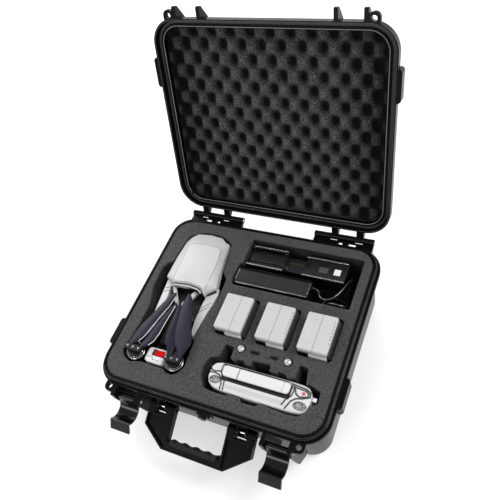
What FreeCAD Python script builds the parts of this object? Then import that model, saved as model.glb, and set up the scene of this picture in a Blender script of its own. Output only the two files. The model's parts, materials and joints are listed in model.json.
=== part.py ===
import FreeCAD, Part
import os
from math import sin, cos, radians, hypot, tan, pi

V = FreeCAD.Vector
os.makedirs("parts", exist_ok=True)

# Millimetres. Origin: middle of the base's footprint on the floor. +X right, +Y to the hinges, +Z up.
# Everything below the lid is drawn in place; the lid is drawn shut, then swung open.

# shell of the base
FLANGE_W, FLANGE_D, FLANGE_R = 170.0, 145.8, 36.0    # half width, half depth, corner radius
FLANGE_Z0, FLANGE_Z1 = 86.0, 92.0
WALL_TOP = (163.0, 139.6, 31.0)
WALL_FOOT = (158.0, 134.0, 28.0)
BOTTOM_ROUND = 9.0
RIM_STEPS = [(166.4, 143.0, 97.0), (165.2, 141.8, 99.4), (164.0, 140.6, 101.5)]
RIM_CORNER = 33.5                                    # plan radius of the rim's outermost step
BORE_TOP = (161.2, 137.8, 28.5)
BORE_FOOT = (154.6, 130.6, 24.8)
FLOOR_T = 3.4
FOAM_GAP = 0.4
FOAM_TOP = 100.0
FOAM_SPLIT = 26.0                                    # top of the plain foam layer under the cut one

# lid
LID_Z0, LID_BAND_Z1, LID_TOP = 94.6, 106.4, 141.0
LID_OPEN = 110.3
PIVOT_Y, PIVOT_Z = 159.1, 93.1
LID_WALL_LOW = (164.6, 140.4, 31.0)
LID_WALL_HIGH = (159.5, 135.3, 28.0)
LID_BORE_LOW = (160.3, 136.9, 28.0)
LID_BORE_HIGH = (156.2, 132.0, 25.5)
LID_ROOF = 3.2
LIP_T = 2.5
LID_FOAM_Z0, LID_FOAM_Z1 = 114.6, 137.4             # the foam as the shut lid presses it

# hinges
KNUCKLE_R, HINGE_PIN_R, HINGE_RUN = 4.6, 2.0, 0.06
BASE_KNUCKLES = [(60.0, 84.6), (95.6, 122.2), (133.8, 150.0)]
LID_KNUCKLES = [(85.0, 95.2), (122.6, 133.4)]

# latches
LATCH_X0, LATCH_X1 = 97.0, 127.0
RIB_IN, RIB_OUT = (91.0, 96.4), (127.6, 133.2)
LATCH_PY, LATCH_PZ = -155.2, 77.8
LATCH_PIN_R = 2.0
RING_IN, RING_OUT = 13.54, 16.14                       # the curved plate of the latch
RING_Y, RING_Z = -172.9, 76.34
RING_CUT_Z = 71.2                                    # the plate is the part of the ring below this height

# padlock eyes
EYE_X, EYE_Y, EYE_HOLE_R, EYE_R = 139.8, -149.6, 3.6, 7.6

# pressure valve
VALVE_X, VALVE_Z = 6.0, 87.0
VALVE_SEAT_Y = -147.0                                # front of the pad that the valve is screwed to

# carrying handle
HANDLE_PY, HANDLE_PZ = -149.0, 71.0
HANDLE_TILT = 23.4
HANDLE_T = 13.0
HANDLE_PIN_R = 2.0

# small fits
RUN = 0.05


def face(points):
    return Part.Face(Part.makePolygon([V(*p) for p in points] + [V(*points[0])]))


def prism_z(outline, z0, z1):
    return face([(x, y, z0) for x, y in outline]).extrude(V(0, 0, z1 - z0))


def prism_x(outline, x0, x1):
    """Solid with a (y, z) outline, from x0 to x1."""
    return face([(x0, y, z) for y, z in outline]).extrude(V(x1 - x0, 0, 0))


def box(x0, x1, y0, y1, z0, z1):
    return Part.makeBox(x1 - x0, y1 - y0, z1 - z0, V(x0, y0, z0))


def tube(p, q, r):
    d = V(*q) - V(*p)
    return Part.makeCylinder(r, d.Length, V(*p), d)


def join(shapes):
    out = shapes[0]
    if len(shapes) > 1:
        out = out.fuse(shapes[1:])
    return out.removeSplitter()


def cut(shape, tools):
    for tool in tools:
        shape = shape.cut(tool)
    return shape


def mirror_x(shape):
    return shape.mirror(V(0, 0, 0), V(1, 0, 0))


def both(shape):
    return [mirror_x(shape), shape]


def rounded_wire(w, d, r, z, cx=0.0, cy=0.0):
    """Rounded rectangle of half width w and half depth d at height z."""
    s = r * (1 - cos(pi / 4))
    edges = []
    corners = [(w, d, 1, 1), (-w, d, -1, 1), (-w, -d, -1, -1), (w, -d, 1, -1)]
    arcs = []
    for x, y, i, j in corners:
        a, b = V(cx + x, cy + y - j * r, z), V(cx + x - i * r, cy + y, z)
        if i * j < 0:
            a, b = b, a
        arcs.append((a, V(cx + x - i * s, cy + y - j * s, z), b))
    for k, (a, m, b) in enumerate(arcs):
        edges.append(Part.Arc(a, m, b).toShape())
        edges.append(Part.makeLine(b, arcs[(k + 1) % 4][0]))
    return Part.Wire(edges)


def rounded_block(w, d, r, z0, z1, cx=0.0, cy=0.0):
    return Part.Face(rounded_wire(w, d, r, z0, cx, cy)).extrude(V(0, 0, z1 - z0))


def tapered_block(low, z0, high, z1, cx=0.0, cy=0.0):
    wires = [rounded_wire(*low, z0, cx, cy), rounded_wire(*high, z1, cx, cy)]
    return Part.makeLoft(wires, True, True)


def bar(x0, x1, y0, y1, z0, z1, r):
    """Block with all its upright edges rounded."""
    return rounded_block((x1 - x0) / 2, (y1 - y0) / 2, r, z0, z1, (x0 + x1) / 2, (y0 + y1) / 2)


def rounded(shape, r, pick):
    edges = [e for e in shape.Edges if pick(e)]
    return shape.makeFillet(r, edges)


def at_height(z):
    return lambda e: abs(e.BoundBox.ZMin - z) < 1e-4 and abs(e.BoundBox.ZMax - z) < 1e-4


def along_x(e):
    b = e.BoundBox
    return b.XLength > 1.0 and b.YLength < 1e-4 and b.ZLength < 1e-4


def along_y(e):
    b = e.BoundBox
    return b.YLength > 1.0 and b.XLength < 1e-4 and b.ZLength < 1e-4


def swing(shape, y, z, angle):
    """Turn about the line through (y, z) along X."""
    out = shape.copy()
    out.rotate(V(0, y, z), V(1, 0, 0), angle)
    return out


def lid_open(shape):
    return swing(shape, PIVOT_Y, PIVOT_Z, -LID_OPEN)


def save(name, shapes):
    shapes = shapes if isinstance(shapes, list) else [shapes]
    solids = [s for shape in shapes for s in shape.Solids]
    for s in solids:
        assert s.isValid(), name
    out = solids[0] if len(solids) == 1 else Part.makeCompound(solids)
    b = out.BoundBox
    print("%-22s %2d solids %10.0f mm3  x %.1f %.1f  y %.1f %.1f  z %.1f %.1f" % (
        name, len(solids), sum(s.Volume for s in solids), b.XMin, b.XMax, b.YMin, b.YMax, b.ZMin, b.ZMax))
    out.exportStep("parts/" + name + ".step")


# ---------------------------------------------------------------- base shell
def hinge_half():
    """Right-hand hinge carrier of the base: shelf, gussets and barrel pieces round the pin."""
    parts = []
    for x0, x1 in BASE_KNUCKLES:
        parts.append(tube((x0, PIVOT_Y, PIVOT_Z), (x1, PIVOT_Y, PIVOT_Z), KNUCKLE_R))
        parts.append(box(x0, x1, 142.0, PIVOT_Y, 88.5, 92.0))
    shelf = prism_x([(138.0, 92.0), (153.6, 92.0), (153.6, 87.0), (138.5, 78.0)], 60.0, 150.0)
    windows = [box(98.5, 105.0, 147.2, 153.2, 70.0, 100.0), box(113.5, 125.0, 147.2, 153.2, 70.0, 100.0)]
    carrier = cut(join([shelf] + parts), windows)
    return carrier


def latch_ribs():
    rib = [(-134.0, 92.0), (-160.0, 92.0), (-161.5, 90.5), (-161.5, 76.0), (-156.2, 36.0),
           (-154.0, 32.0), (-139.0, 17.0), (-134.0, 17.0)]
    ribs = [prism_x(rib, *RIB_IN), prism_x(rib, *RIB_OUT)]
    plate = box(RIB_OUT[0], EYE_X, -157.2, -138.0, FLANGE_Z0, FLANGE_Z1)
    eye = tube((EYE_X, EYE_Y, FLANGE_Z0), (EYE_X, EYE_Y, FLANGE_Z1), EYE_R)
    neck = box(EYE_X - EYE_R, EYE_X + EYE_R, EYE_Y, -138.0, FLANGE_Z0, FLANGE_Z1)
    gusset = prism_x([(-134.0, 87.0), (-154.0, 87.0), (-150.0, 60.0), (-134.0, 48.0)],
                     RIB_OUT[1] - 1.0, 136.0)
    return ribs + [plate, eye, neck, gusset]


def handle_lug():
    """Lug on the front wall that carries one end of the handle, with its pin in a window."""
    x0, x1, r = 51.8, 68.2, 6.6
    body = join([
        tube((x0, HANDLE_PY, HANDLE_PZ), (x1, HANDLE_PY, HANDLE_PZ), r),
        box(x0, x1, HANDLE_PY, -134.0, HANDLE_PZ - r, HANDLE_PZ + r),
        prism_x([(-134.0, 86.5), (-146.0, 86.5), (-149.0, 77.0), (-134.0, 72.0)], x0, x1),
    ])
    window = box(55.4, 64.6, -160.0, -145.4, 68.0, 82.0)
    return body.cut(window)


def base_shell():
    outer = tapered_block(WALL_FOOT, 0.0, WALL_TOP, FLANGE_Z0 + 1.0)
    outer = rounded(outer, BOTTOM_ROUND, at_height(0.0))
    flange = rounded_block(FLANGE_W, FLANGE_D, FLANGE_R, FLANGE_Z0, FLANGE_Z1)
    steps = []
    z = FLANGE_Z1 - 1.0
    for w, d, top in RIM_STEPS:
        steps.append(rounded_block(w, d, RIM_CORNER - (RIM_STEPS[0][0] - w), z, top))
        z = top - 0.5
    bore = join([tapered_block(BORE_FOOT, FLOOR_T, BORE_TOP, FLANGE_Z1),
                 rounded_block(*BORE_TOP, FLANGE_Z1 - 0.2, 110.0)])
    hardware = []
    for part in [hinge_half(), handle_lug()] + latch_ribs():
        hardware += both(part)
    for s in (-1, 1):
        y0, y1 = -92.0, -50.0
        tab = prism_z([(s * 160.0, y0), (s * 173.0, y0), (s * 175.5, y0 + 3.0),
                       (s * 175.5, y1 - 3.0), (s * 173.0, y1), (s * 160.0, y1)], 76.0, 93.6)
        hardware.append(tab)
    socket = box(-27.0, 18.0, VALVE_SEAT_Y, -135.0, 79.5, 91.8)
    panel = rounded_block(128.0, 104.0, 18.0, -1.0, 0.8).cut(rounded_block(123.0, 99.0, 14.0, -2.0, 2.0))
    drop = [tube((s * EYE_X, EYE_Y, FLANGE_Z0 - 1.0), (s * EYE_X, EYE_Y, FLANGE_Z1 + 1.0), EYE_HOLE_R)
            for s in (-1, 1)]
    pins = [tube((s * 88.0, LATCH_PY, LATCH_PZ), (s * 136.0, LATCH_PY, LATCH_PZ), LATCH_PIN_R)
            for s in (-1, 1)]
    pins += [tube((s * 48.0, HANDLE_PY, HANDLE_PZ), (s * 72.0, HANDLE_PY, HANDLE_PZ), HANDLE_PIN_R)
             for s in (-1, 1)]
    pins += [tube((s * 58.0, PIVOT_Y, PIVOT_Z), (s * 152.0, PIVOT_Y, PIVOT_Z), HINGE_PIN_R) for s in (-1, 1)]
    valve_hole = tube((VALVE_X, -160.0, VALVE_Z), (VALVE_X, VALVE_SEAT_Y + 9.0, VALVE_Z), 4.5)
    shell = join([outer, flange] + steps + hardware + [socket])
    return cut(shell, [bore, panel, valve_hole] + drop + pins)


# ---------------------------------------------------------------- lid
def lid_shell():
    band = rounded_block(FLANGE_W, FLANGE_D, FLANGE_R, LID_Z0, LID_BAND_Z1)
    wall = tapered_block(LID_WALL_LOW, LID_BAND_Z1 - 1.0, LID_WALL_HIGH, LID_TOP)
    wall = rounded(wall, BOTTOM_ROUND, at_height(LID_TOP))
    recess = rounded_block(167.0, 143.6, 34.1, LID_Z0 - 1.0, 102.6)
    groove = rounded_block(165.8, 142.4, 32.9, 102.0, 104.4)
    groove = groove.cut(rounded_block(162.2, 138.8, 29.5, 101.0, 105.0))
    bore = tapered_block(LID_BORE_LOW, LID_BAND_Z1 - 2.0, LID_BORE_HIGH, LID_TOP - LID_ROOF)
    lip = rounded_block(160.3, 136.9, 28.0, 100.6, 106.0).cut(
        rounded_block(160.3 - LIP_T, 136.9 - LIP_T, 25.6, 90.0, 120.0))
    lip_bore = rounded_block(160.3 - LIP_T, 136.9 - LIP_T, 25.6, 90.0, LID_BAND_Z1)
    legs = []
    for x0, x1 in LID_KNUCKLES:
        barrel = tube((x0, PIVOT_Y, PIVOT_Z), (x1, PIVOT_Y, PIVOT_Z), KNUCKLE_R)
        arm = prism_x([(144.6, 104.8), (152.0, 104.8), (163.2, 95.2), (160.0, 92.6), (155.6, 95.0),
                       (144.6, 95.0)], x0, x1)
        legs += both(join([barrel, arm]))
    fins = []
    fin = [(-140.0, 94.9), (-159.6, 94.9), (-161.0, 96.4), (-161.0, 101.0), (-143.5, 117.5), (-137.0, 119.0),
           (-137.0, 100.0)]
    for x0, x1 in (RIB_IN, RIB_OUT):
        fins += both(prism_x(fin, x0, x1))
    eyes = []
    for s in (-1, 1):
        low, high = LID_Z0 + 0.3, LID_Z0 + 6.3
        eyes.append(tube((s * EYE_X, EYE_Y, low), (s * EYE_X, EYE_Y, high), EYE_R))
        eyes.append(box(min(s * 128.0, s * (EYE_X + EYE_R)), max(s * 128.0, s * (EYE_X + EYE_R)),
                        EYE_Y, -144.0, low, high))
        y0, y1 = -92.0, -50.0
        eyes.append(prism_z([(s * 168.0, y0), (s * 173.0, y0), (s * 175.5, y0 + 3.0),
                             (s * 175.5, y1 - 3.0), (s * 173.0, y1), (s * 168.0, y1)], LID_Z0 + 0.2, 109.0))
    panel = rounded_block(118.0, 94.0, 20.0, LID_TOP - 0.5, LID_TOP + 1.6)
    shell = join([band, wall, panel] + fins + eyes)
    shell = cut(shell, [recess, groove, bore, lip_bore])
    shell = join([shell, lip] + legs)
    holes = [tube((s * EYE_X, EYE_Y, 60.0), (s * EYE_X, EYE_Y, 130.0), EYE_HOLE_R) for s in (-1, 1)]
    holes += [tube((s * 58.0, PIVOT_Y, PIVOT_Z), (s * 152.0, PIVOT_Y, PIVOT_Z), HINGE_PIN_R + HINGE_RUN)
              for s in (-1, 1)]
    return cut(shell, holes)


def lid_gasket():
    ring = rounded_block(165.6, 142.2, 32.7, 101.8, 104.4)
    return ring.cut(rounded_block(162.4, 139.0, 29.7, 100.0, 106.0))


def lid_foam():
    k = (LID_FOAM_Z0 - LID_BAND_Z1) / (LID_TOP - LID_ROOF - LID_BAND_Z1)
    gap = FOAM_GAP
    low = [a + (b - a) * k - gap for a, b in zip(LID_BORE_LOW, LID_BORE_HIGH)]
    high = [a - gap for a in LID_BORE_HIGH]
    return tapered_block(low, LID_FOAM_Z0, high, LID_FOAM_Z1)


# ---------------------------------------------------------------- latches and handle
def latch():
    """Right-hand latch as it hangs open: barrel, curved plate and finger tab."""
    x0, x1 = LATCH_X0, LATCH_X1
    ring = tube((x0, RING_Y, RING_Z), (x1, RING_Y, RING_Z), RING_OUT)
    ring = ring.cut(tube((x0 - 1, RING_Y, RING_Z), (x1 + 1, RING_Y, RING_Z), RING_IN))
    ring = ring.cut(box(x0 - 1, x1 + 1, RING_Y - 30, RING_Y + 30, RING_CUT_Z, RING_Z + 30))
    barrel = tube((x0, LATCH_PY, LATCH_PZ), (x1, LATCH_PY, LATCH_PZ), 4.6)
    z = RING_CUT_Z
    near, far = RING_Y + 15.3, RING_Y - 15.3         # outer ends of the plate
    web = prism_x([(LATCH_PY - 4.2, LATCH_PZ + 1.0), (LATCH_PY + 3.6, LATCH_PZ - 2.0), (near, z),
                   (near - 1.4, z - 1.6), (near - 3.2, z - 1.2), (near - 2.8, z)], x0, x1)
    tab = prism_x([(far + 2.8, z), (far + 0.2, z + 0.6), (far - 9.0, z - 10.5), (far - 8.2, z - 13.0),
                   (far - 5.6, z - 12.6), (far + 1.6, z - 2.0)], x0, x1)
    body = join([ring, barrel, web, tab])
    for shape in both(tube((0, LATCH_PY, LATCH_PZ), (200, LATCH_PY, LATCH_PZ), LATCH_PIN_R + RUN)):
        body = body.cut(shape)
    return body


def handle_outline():
    return [(39.5, 2.0), (39.5, -40.0), (-39.5, -40.0), (-39.5, 2.0), (-79.0, 2.0), (-79.5, -28.0),
            (-46.5, -53.0), (46.5, -53.0), (79.5, -28.0), (79.0, 2.0)]


def handle_frame():
    """Handle drawn flat round its pivot line, thickness along Z, then tipped down."""
    t = HANDLE_T / 2
    body = rounded(prism_z(handle_outline(), -t, t), 1.6, lambda e: at_height(t)(e) or at_height(-t)(e))
    ears = []
    for x0, x1 in ((39.5, 51.4), (68.6, 79.0)):
        ears += both(tube((x0, 0, 0), (x1, 0, 0), t))
    body = join([body.cut(box(-90, 90, 0, 20, -20, 20))] + ears)
    cuts = both(box(51.4, 68.6, -9.4, 10.0, -20, 20))
    panel = [(43.0, -12.5), (76.0, -12.5), (76.4, -26.6), (44.9, -50.4), (43.0, -48.0)]
    for side in (-1, 1):
        cuts += both(prism_z(panel, side * (t - 3.5), side * (t + 1)))
        cuts.append(prism_z([(-45.0, -50.4), (45.0, -50.4), (45.0, -49.0), (-45.0, -49.0)],
                            side * (t - 1.2), side * (t + 1)))
    seat = box(-35.0, 35.0, -45.0, -39.0, -20, 20)
    body = cut(body, cuts + [seat])
    body = body.cut(tube((-90, 0, 0), (90, 0, 0), HANDLE_PIN_R + RUN))
    return tip_handle(body)


def handle_grip():
    """Soft insert with finger grooves, set into the inner edge of the grip."""
    t = HANDLE_T / 2 + 1.0
    body = box(-34.9, 34.9, -44.9, -37.4, -t, t)
    body = rounded(body, 2.0, lambda e: along_x(e) and e.BoundBox.YMin > -40.0)
    for x in (-26.0, -8.7, 8.7, 26.0):
        body = body.cut(tube((x, -27.6, -20), (x, -27.6, 20), 12.0))
    return tip_handle(body)


def tip_handle(shape):
    out = shape.copy()
    out.translate(V(0, HANDLE_PY, HANDLE_PZ))
    return swing(out, HANDLE_PY, HANDLE_PZ, HANDLE_TILT)


def valve_body():
    x, z = VALVE_X, VALVE_Z
    y = VALVE_SEAT_Y
    body = rounded(box(x - 9.0, x + 9.0, y - 3.0, y, z - 5.0, z + 4.8), 2.5, along_y)
    body = join([body, tube((x, y - 0.5, z), (x, y + 8.5, z), 4.5)])
    return body.cut(tube((x, y - 10.0, z), (x, y + 3.0, z), 2.5))


def valve_knob():
    x, z = VALVE_X, VALVE_Z
    y = VALVE_SEAT_Y - 3.3
    knob = tube((x, y, z), (x, y - 3.1, z), 5.6)
    for k in range(12):
        a = radians(30 * k)
        notch_x, notch_z = x + 6.2 * cos(a), z + 6.2 * sin(a)
        knob = knob.cut(tube((notch_x, y + 1.0, notch_z), (notch_x, y - 6.0, notch_z), 1.1))
    return join([knob, tube((x, y - 0.7, z), (x, y + 5.8, z), 2.45)])


# ---------------------------------------------------------------- foam of the base
DRONE_POCKET = [
    (-132, 108), (-125, 112), (-119, 116), (-104, 119.5), (-86, 119), (-72, 116), (-64, 111), (-57, 107),
    (-50, 57), (-41, 47), (-40, 31), (-38, 7), (-45, -8), (-47, -25), (-48, -50), (-45, -65), (-44, -84),
    (-42.5, -97), (-47, -107), (-55, -113), (-65, -112), (-71, -108.5), (-89, -108), (-108, -107),
    (-115, -109), (-125, -111.5), (-138, -106.5), (-143, -98), (-141, -79), (-139, -52), (-139, -23),
    (-144, -6), (-149, 9), (-150, 44), (-145, 53), (-138, 58), (-136, 79)]
CHARGER_POCKET = [(-27, 124), (147, 122), (147, 41), (-29, 41), (-33, 52), (-31.5, 79), (-27, 79)]
CONTROL_POCKET = [
    (-13, -74), (-1, -70), (1, -50), (15, -52), (15, -68), (24, -71), (25, -67), (36, -67),
    (37, -71), (46, -71), (47, -63), (72, -62), (73, -71), (84, -72), (85, -68), (97, -70),
    (98, -74), (109, -72), (109, -52), (121, -53), (125, -75), (131, -74), (146, -79), (147, -95),
    (139, -99), (136, -110), (127, -117), (113, -118), (93, -117), (79, -115), (74, -115.5), (74, -120),
    (51, -121), (50, -116), (40, -115.5), (31, -115.5), (30, -118), (7, -118), (-5, -116), (-14, -103),
    (-17, -90)]
BATTERIES = [-0.8, 61.2, 121.0]
BATTERY_Y0, BATTERY_Y1 = -35.6, 19.4
STICKS = [(24.4, -51.4), (92.6, -52.5)]
PLUGS = [(38.0, 52.0), (67.0, 78.5)]
PLUG_Y = -52.0
DRONE_FLOOR, CHARGER_FLOOR, HUB_STEP = 34.0, 44.0, 64.0
CONTROL_FLOOR, BATTERY_FLOOR = 32.0, 40.0


def base_foam():
    def size(z):
        k = (z - FLOOR_T) / (FLANGE_Z1 - FLOOR_T)
        k = min(k, 1.0)
        return [a + (b - a) * k - FOAM_GAP for a, b in zip(BORE_FOOT, BORE_TOP)]
    floor = tapered_block(size(FLOOR_T), FLOOR_T + 0.2, size(FOAM_SPLIT), FOAM_SPLIT)
    low = tapered_block(size(FOAM_SPLIT), FOAM_SPLIT, size(FLANGE_Z1), FLANGE_Z1)
    block = join([low, rounded_block(*size(FLANGE_Z1), FLANGE_Z1, FOAM_TOP)])
    top = FOAM_TOP + 5.0
    pockets = [prism_z(DRONE_POCKET, DRONE_FLOOR, top), prism_z(CONTROL_POCKET, CONTROL_FLOOR, top)]
    pockets.append(prism_z(CHARGER_POCKET, HUB_STEP, top))
    pockets.append(prism_z([(147, 79), (147, 41), (-29, 41), (-33, 52), (-31.5, 79)], CHARGER_FLOOR, top))
    pockets.append(box(127.4, 147.0, 60.0, 122.0, CHARGER_FLOOR, top))
    for x in BATTERIES:
        pockets.append(bar(x - 21.7, x + 25.0, BATTERY_Y0 - 3.0, BATTERY_Y1 + 4.6, BATTERY_FLOOR, top, 4.0))
    for x, y in STICKS:
        pockets.append(tube((x + 0.8, y, 86.0), (x + 0.8, y, top), 6.2))
    for x0, x1 in PLUGS:
        pockets.append(box(x0 - 0.4, x1 + 0.4, PLUG_Y - 2.6, PLUG_Y + 2.6, 84.0, top))
    return floor, cut(block, pockets)


# ---------------------------------------------------------------- folded drone
SHELL_LOW = [(-133.5, 28), (-133, 64), (-130, 94), (-126, 104), (-117, 113), (-96, 115.5), (-75, 113.5),
             (-65, 106), (-59, 104.5), (-56.6, 76), (-51, 42), (-47.5, 27), (-60, 17), (-62, 10), (-68, 18),
             (-89, 21), (-116, 18), (-122, 22)]
SHELL_HIGH = [(-115, 30), (-114.5, 62), (-113, 86), (-110, 92), (-104, 97), (-94, 98.5), (-82, 98),
              (-75, 94), (-70, 91), (-67.5, 74), (-64.5, 44), (-62.5, 26), (-63.5, 21), (-66, 19), (-71, 21),
              (-89, 24), (-112, 22), (-114, 25)]
MOTORS = [(-122.8, -94.4), (-59.4, -95.0)]
GUARD = (-105.2, -74.2, -104.8, -82.4)               # gimbal guard: x and y limits
WINDOW_X, WINDOW_Y = -87.0, -89.8


ARM_LEFT = [(-133, 29), (-124, 29), (-117, -30), (-114.5, -70), (-119, -70), (-128, -30)]
ARM_RIGHT = [(-58, 29), (-45.5, 29), (-43.5, 20), (-46.6, -10), (-48.6, -30), (-51.4, -51), (-56, -51),
             (-60, -28), (-60.5, 0)]


def offset_points(points, cx, cy, k):
    return [(cx + (x - cx) * k, cy + (y - cy) * k) for x, y in points]


def outline_wire(points, z):
    return Part.makePolygon([V(x, y, z) for x, y in points] + [V(points[0][0], points[0][1], z)])


def drone_shell():
    low = outline_wire(SHELL_LOW, 92.0)
    mid = outline_wire(SHELL_LOW, 97.5)
    high = outline_wire(SHELL_HIGH, 110.5)
    skirt = Part.makeLoft([low, mid], True, True)
    crown = Part.makeLoft([mid, high], True, True)
    return join([skirt, crown])


def drone_belly():
    wide = [(-131, 30), (-130, 92), (-120, 108), (-96, 112), (-74, 110), (-61, 101), (-58, 76),
            (-52, 42), (-51, 30)]
    rear = prism_z(wide, 34.5, 91.8)
    nose = prism_z([(-114, 30.5), (-68, 30.5), (-68, -40), (-74, -82), (-105, -82), (-111, -40)], 34.5, 80.0)
    neck = box(-111, -70, 24, 31, 34.5, 88.0)
    return join([rear, nose, neck])


def drone_deck():
    return prism_z([(-103, 23.8), (-69, 23.8), (-70, -38), (-76, -70), (-103, -70)], 80.2, 85.0)


def side_arm(points, z0, z1):
    """Folded arm beside the body; it runs in under the shell's skirt."""
    under = prism_z(offset_points(SHELL_LOW, -90.0, 65.0, 1.006), 91.8, 110.0)
    return prism_z(points, z0, z1).cut(under)


def motor_arm(cx, cy, side):
    """Bracket that carries a motor off the nose of the body."""
    foot = Part.makeCylinder(12.4, 9.8, V(cx, cy, 66.0))
    inner = cx + side * 17.5
    link = prism_z([(cx, cy - 6), (inner, cy + 8), (inner, cy + 18), (cx, cy + 11)], 66.0, 75.8)
    nose = prism_z([(-114, 30.5), (-68, 30.5), (-68, -40), (-74, -82), (-105, -82), (-111, -40)], 30.0, 90.0)
    x0, x1, y0, y1 = GUARD
    guard = box(x0 - 1.0, x1 + 1.0, y0 - 1.0, y1 + 1.0, 60.0, 80.0)
    return cut(join([foot, link]), [nose, guard])


def rotor(cx, cy):
    motor = Part.makeCylinder(11.8, 22.0, V(cx, cy, 76.0))
    ring = Part.makeCylinder(13.6, 3.0, V(cx, cy, 98.0)).cut(Part.makeCylinder(10.4, 5.0, V(cx, cy, 97.0)))
    core = Part.makeCylinder(10.0, 6.6, V(cx, cy, 98.0))
    return motor, ring, core


def hub_bar(cx, cy, angle):
    body = bar(-12.5, 12.5, -4.2, 4.2, 104.6, 106.4, 4.0)
    cap = bar(-12.5, 12.5, -4.2, 4.2, 109.4, 111.2, 4.0)
    post = Part.makeCylinder(3.9, 4.0, V(0, 0, 105.6))
    out = join([body, cap, post])
    out.rotate(V(0, 0, 0), V(0, 0, 1), angle)
    out.translate(V(cx, cy, 0))
    return out


def hub_points(cx, cy, angle):
    a = radians(angle)
    return [(cx - 9.0 * cos(a), cy - 9.0 * sin(a)), (cx, cy), (cx + 9.0 * cos(a), cy + 9.0 * sin(a))]


HUB_ANGLE = [-2.0, 2.0]
UPPER_BLADE_Z, LOWER_BLADE_Z, BLADE_T = 108.0, 106.7, 1.1
# folded blades, left rotor then right; each rotor's upper blade, then its lower one
BLADES = [
    [[(-134.4, -88.5), (-133.5, -75.0), (-130.1, -59.3), (-123.6, -42.6), (-116.3, -23.7), (-110.4, -8.4),
      (-105.0, 2.0), (-101.0, 3.0), (-98.0, -3.0), (-100.3, -21.4), (-105.5, -37.9), (-110.5, -57.5),
      (-114.0, -73.0), (-119.0, -82.5), (-127.5, -89.0)],
     [(-117.0, -88.0), (-115.2, -80.0), (-113.0, -66.0), (-109.5, -52.0), (-104.5, -36.0), (-99.0, -21.0),
      (-94.5, -12.0), (-91.9, -13.5), (-93.4, -29.2), (-94.8, -46.3), (-95.5, -64.4), (-98.3, -78.0),
      (-104.1, -86.0), (-110.5, -90.5)]],
    [[(-54.0, -88.5), (-60.0, -80.5), (-67.3, -74.0), (-75.2, -57.9), (-79.4, -39.5), (-82.3, -23.6),
      (-83.4, -8.5), (-82.6, 6.0), (-79.5, 7.0), (-70.3, -3.7), (-62.6, -22.0), (-55.3, -39.8),
      (-46.4, -56.5), (-42.4, -67.0), (-44.5, -77.0), (-47.5, -88.5)],
     [(-71.5, -89.0), (-75.9, -80.0), (-82.5, -74.5), (-85.9, -60.3), (-87.4, -41.0), (-88.9, -21.3),
      (-88.1, -12.6), (-85.0, -13.5), (-80.0, -26.0), (-75.0, -42.0), (-70.0, -58.0), (-66.0, -72.0),
      (-64.6, -83.0), (-65.5, -89.0)]]]


def blade(root, outline, z):
    """Thin folded blade with the eye that its screw passes through."""
    x, y = root
    eye = Part.makeCylinder(3.6, 2.4, V(x, y, LOWER_BLADE_Z))
    neck = prism_z([(x - 3.0, y), outline[0], outline[-1], (x + 3.0, y)], z, z + BLADE_T)
    body = join([prism_z(outline, z, z + BLADE_T), neck, eye])
    return body.cut(Part.makeCylinder(1.3, 40, V(x, y, 90)))


# ---------------------------------------------------------------- controller
CONTROL_OUTLINE = [(-4.2, -86), (-0.5, -79.5), (6, -77), (18, -75.5), (122, -76), (132, -78.5), (137.5, -86),
                   (138.5, -96), (135.5, -108), (129, -113), (112, -114.5), (60, -114.5), (20, -114),
                   (6.5, -112), (-0.8, -107), (-4.6, -97)]


def controller_body():
    body = prism_z(CONTROL_OUTLINE, 32.6, 98.0)
    top = offset_points(CONTROL_OUTLINE, 65.0, -95.5, 0.955)
    crown = Part.makeLoft([outline_wire(CONTROL_OUTLINE, 98.0), outline_wire(top, 102.0)], True, True)
    body = join([body, crown])
    wells = [tapered_block((10.0, 5.2, 5.0), 92.0, (10.6, 5.8, 5.6), 104.0, x, y)
             for x, y in ((9.0, -103.0), (124.0, -104.0))]
    channel = bar(13.5, 110.0, -99.0, -81.0, 97.0, 104.0, 3.0)
    return cut(body, wells + [channel])


def controller_cover():
    body = bar(14.5, 109.0, -95.2, -81.8, 97.2, 105.6, 5.0)
    body = rounded(body, 2.4, at_height(105.6))
    return cut(body, [box(37.0, 37.5, -100, -80, 105.0, 107), box(99.5, 100.0, -100, -80, 105.0, 107)])


def thumb_well(x, y):
    return join([Part.makeCylinder(4.4, 6.6, V(x, y, 92.2)), Part.makeCylinder(2.2, 8.2, V(x, y, 92.2))])


# ---------------------------------------------------------------- batteries
def battery_body(cx):
    y0, y1 = BATTERY_Y0 + 1.2, BATTERY_Y1 - 1.2
    side = [(cx - 20.0, 110.0), (cx - 20.6, 100.0), (cx - 20.6, 44.0), (cx - 18.0, 40.6), (cx + 20.0, 40.6),
            (cx + 23.6, 46.0), (cx + 24.2, 78.0), (cx + 23.8, 96.0), (cx + 22.0, 106.0), (cx + 19.6, 110.0)]
    return face([(x, y0, z) for x, z in side]).extrude(V(0, y1 - y0, 0))


def battery_top(cx):
    cap = bar(cx - 21.0, cx + 20.4, BATTERY_Y0, BATTERY_Y1, 104.0, 114.0, 2.2)
    cap = rounded(cap, 1.6, at_height(114.0))
    core = face([(x, BATTERY_Y0 - 1, z) for x, z in
                 [(cx - 20.0, 110.0), (cx - 20.6, 100.0), (cx + 30.0, 100.0), (cx + 22.9, 101.0),
                  (cx + 22.0, 106.0), (cx + 19.6, 110.0)]]).extrude(V(0, 80, 0))
    cap = cap.cut(core)
    seam = box(cx - 1.9, cx - 1.5, BATTERY_Y0 - 1, BATTERY_Y1 + 1, 113.6, 115.0)
    return cap.cut(seam)


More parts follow.
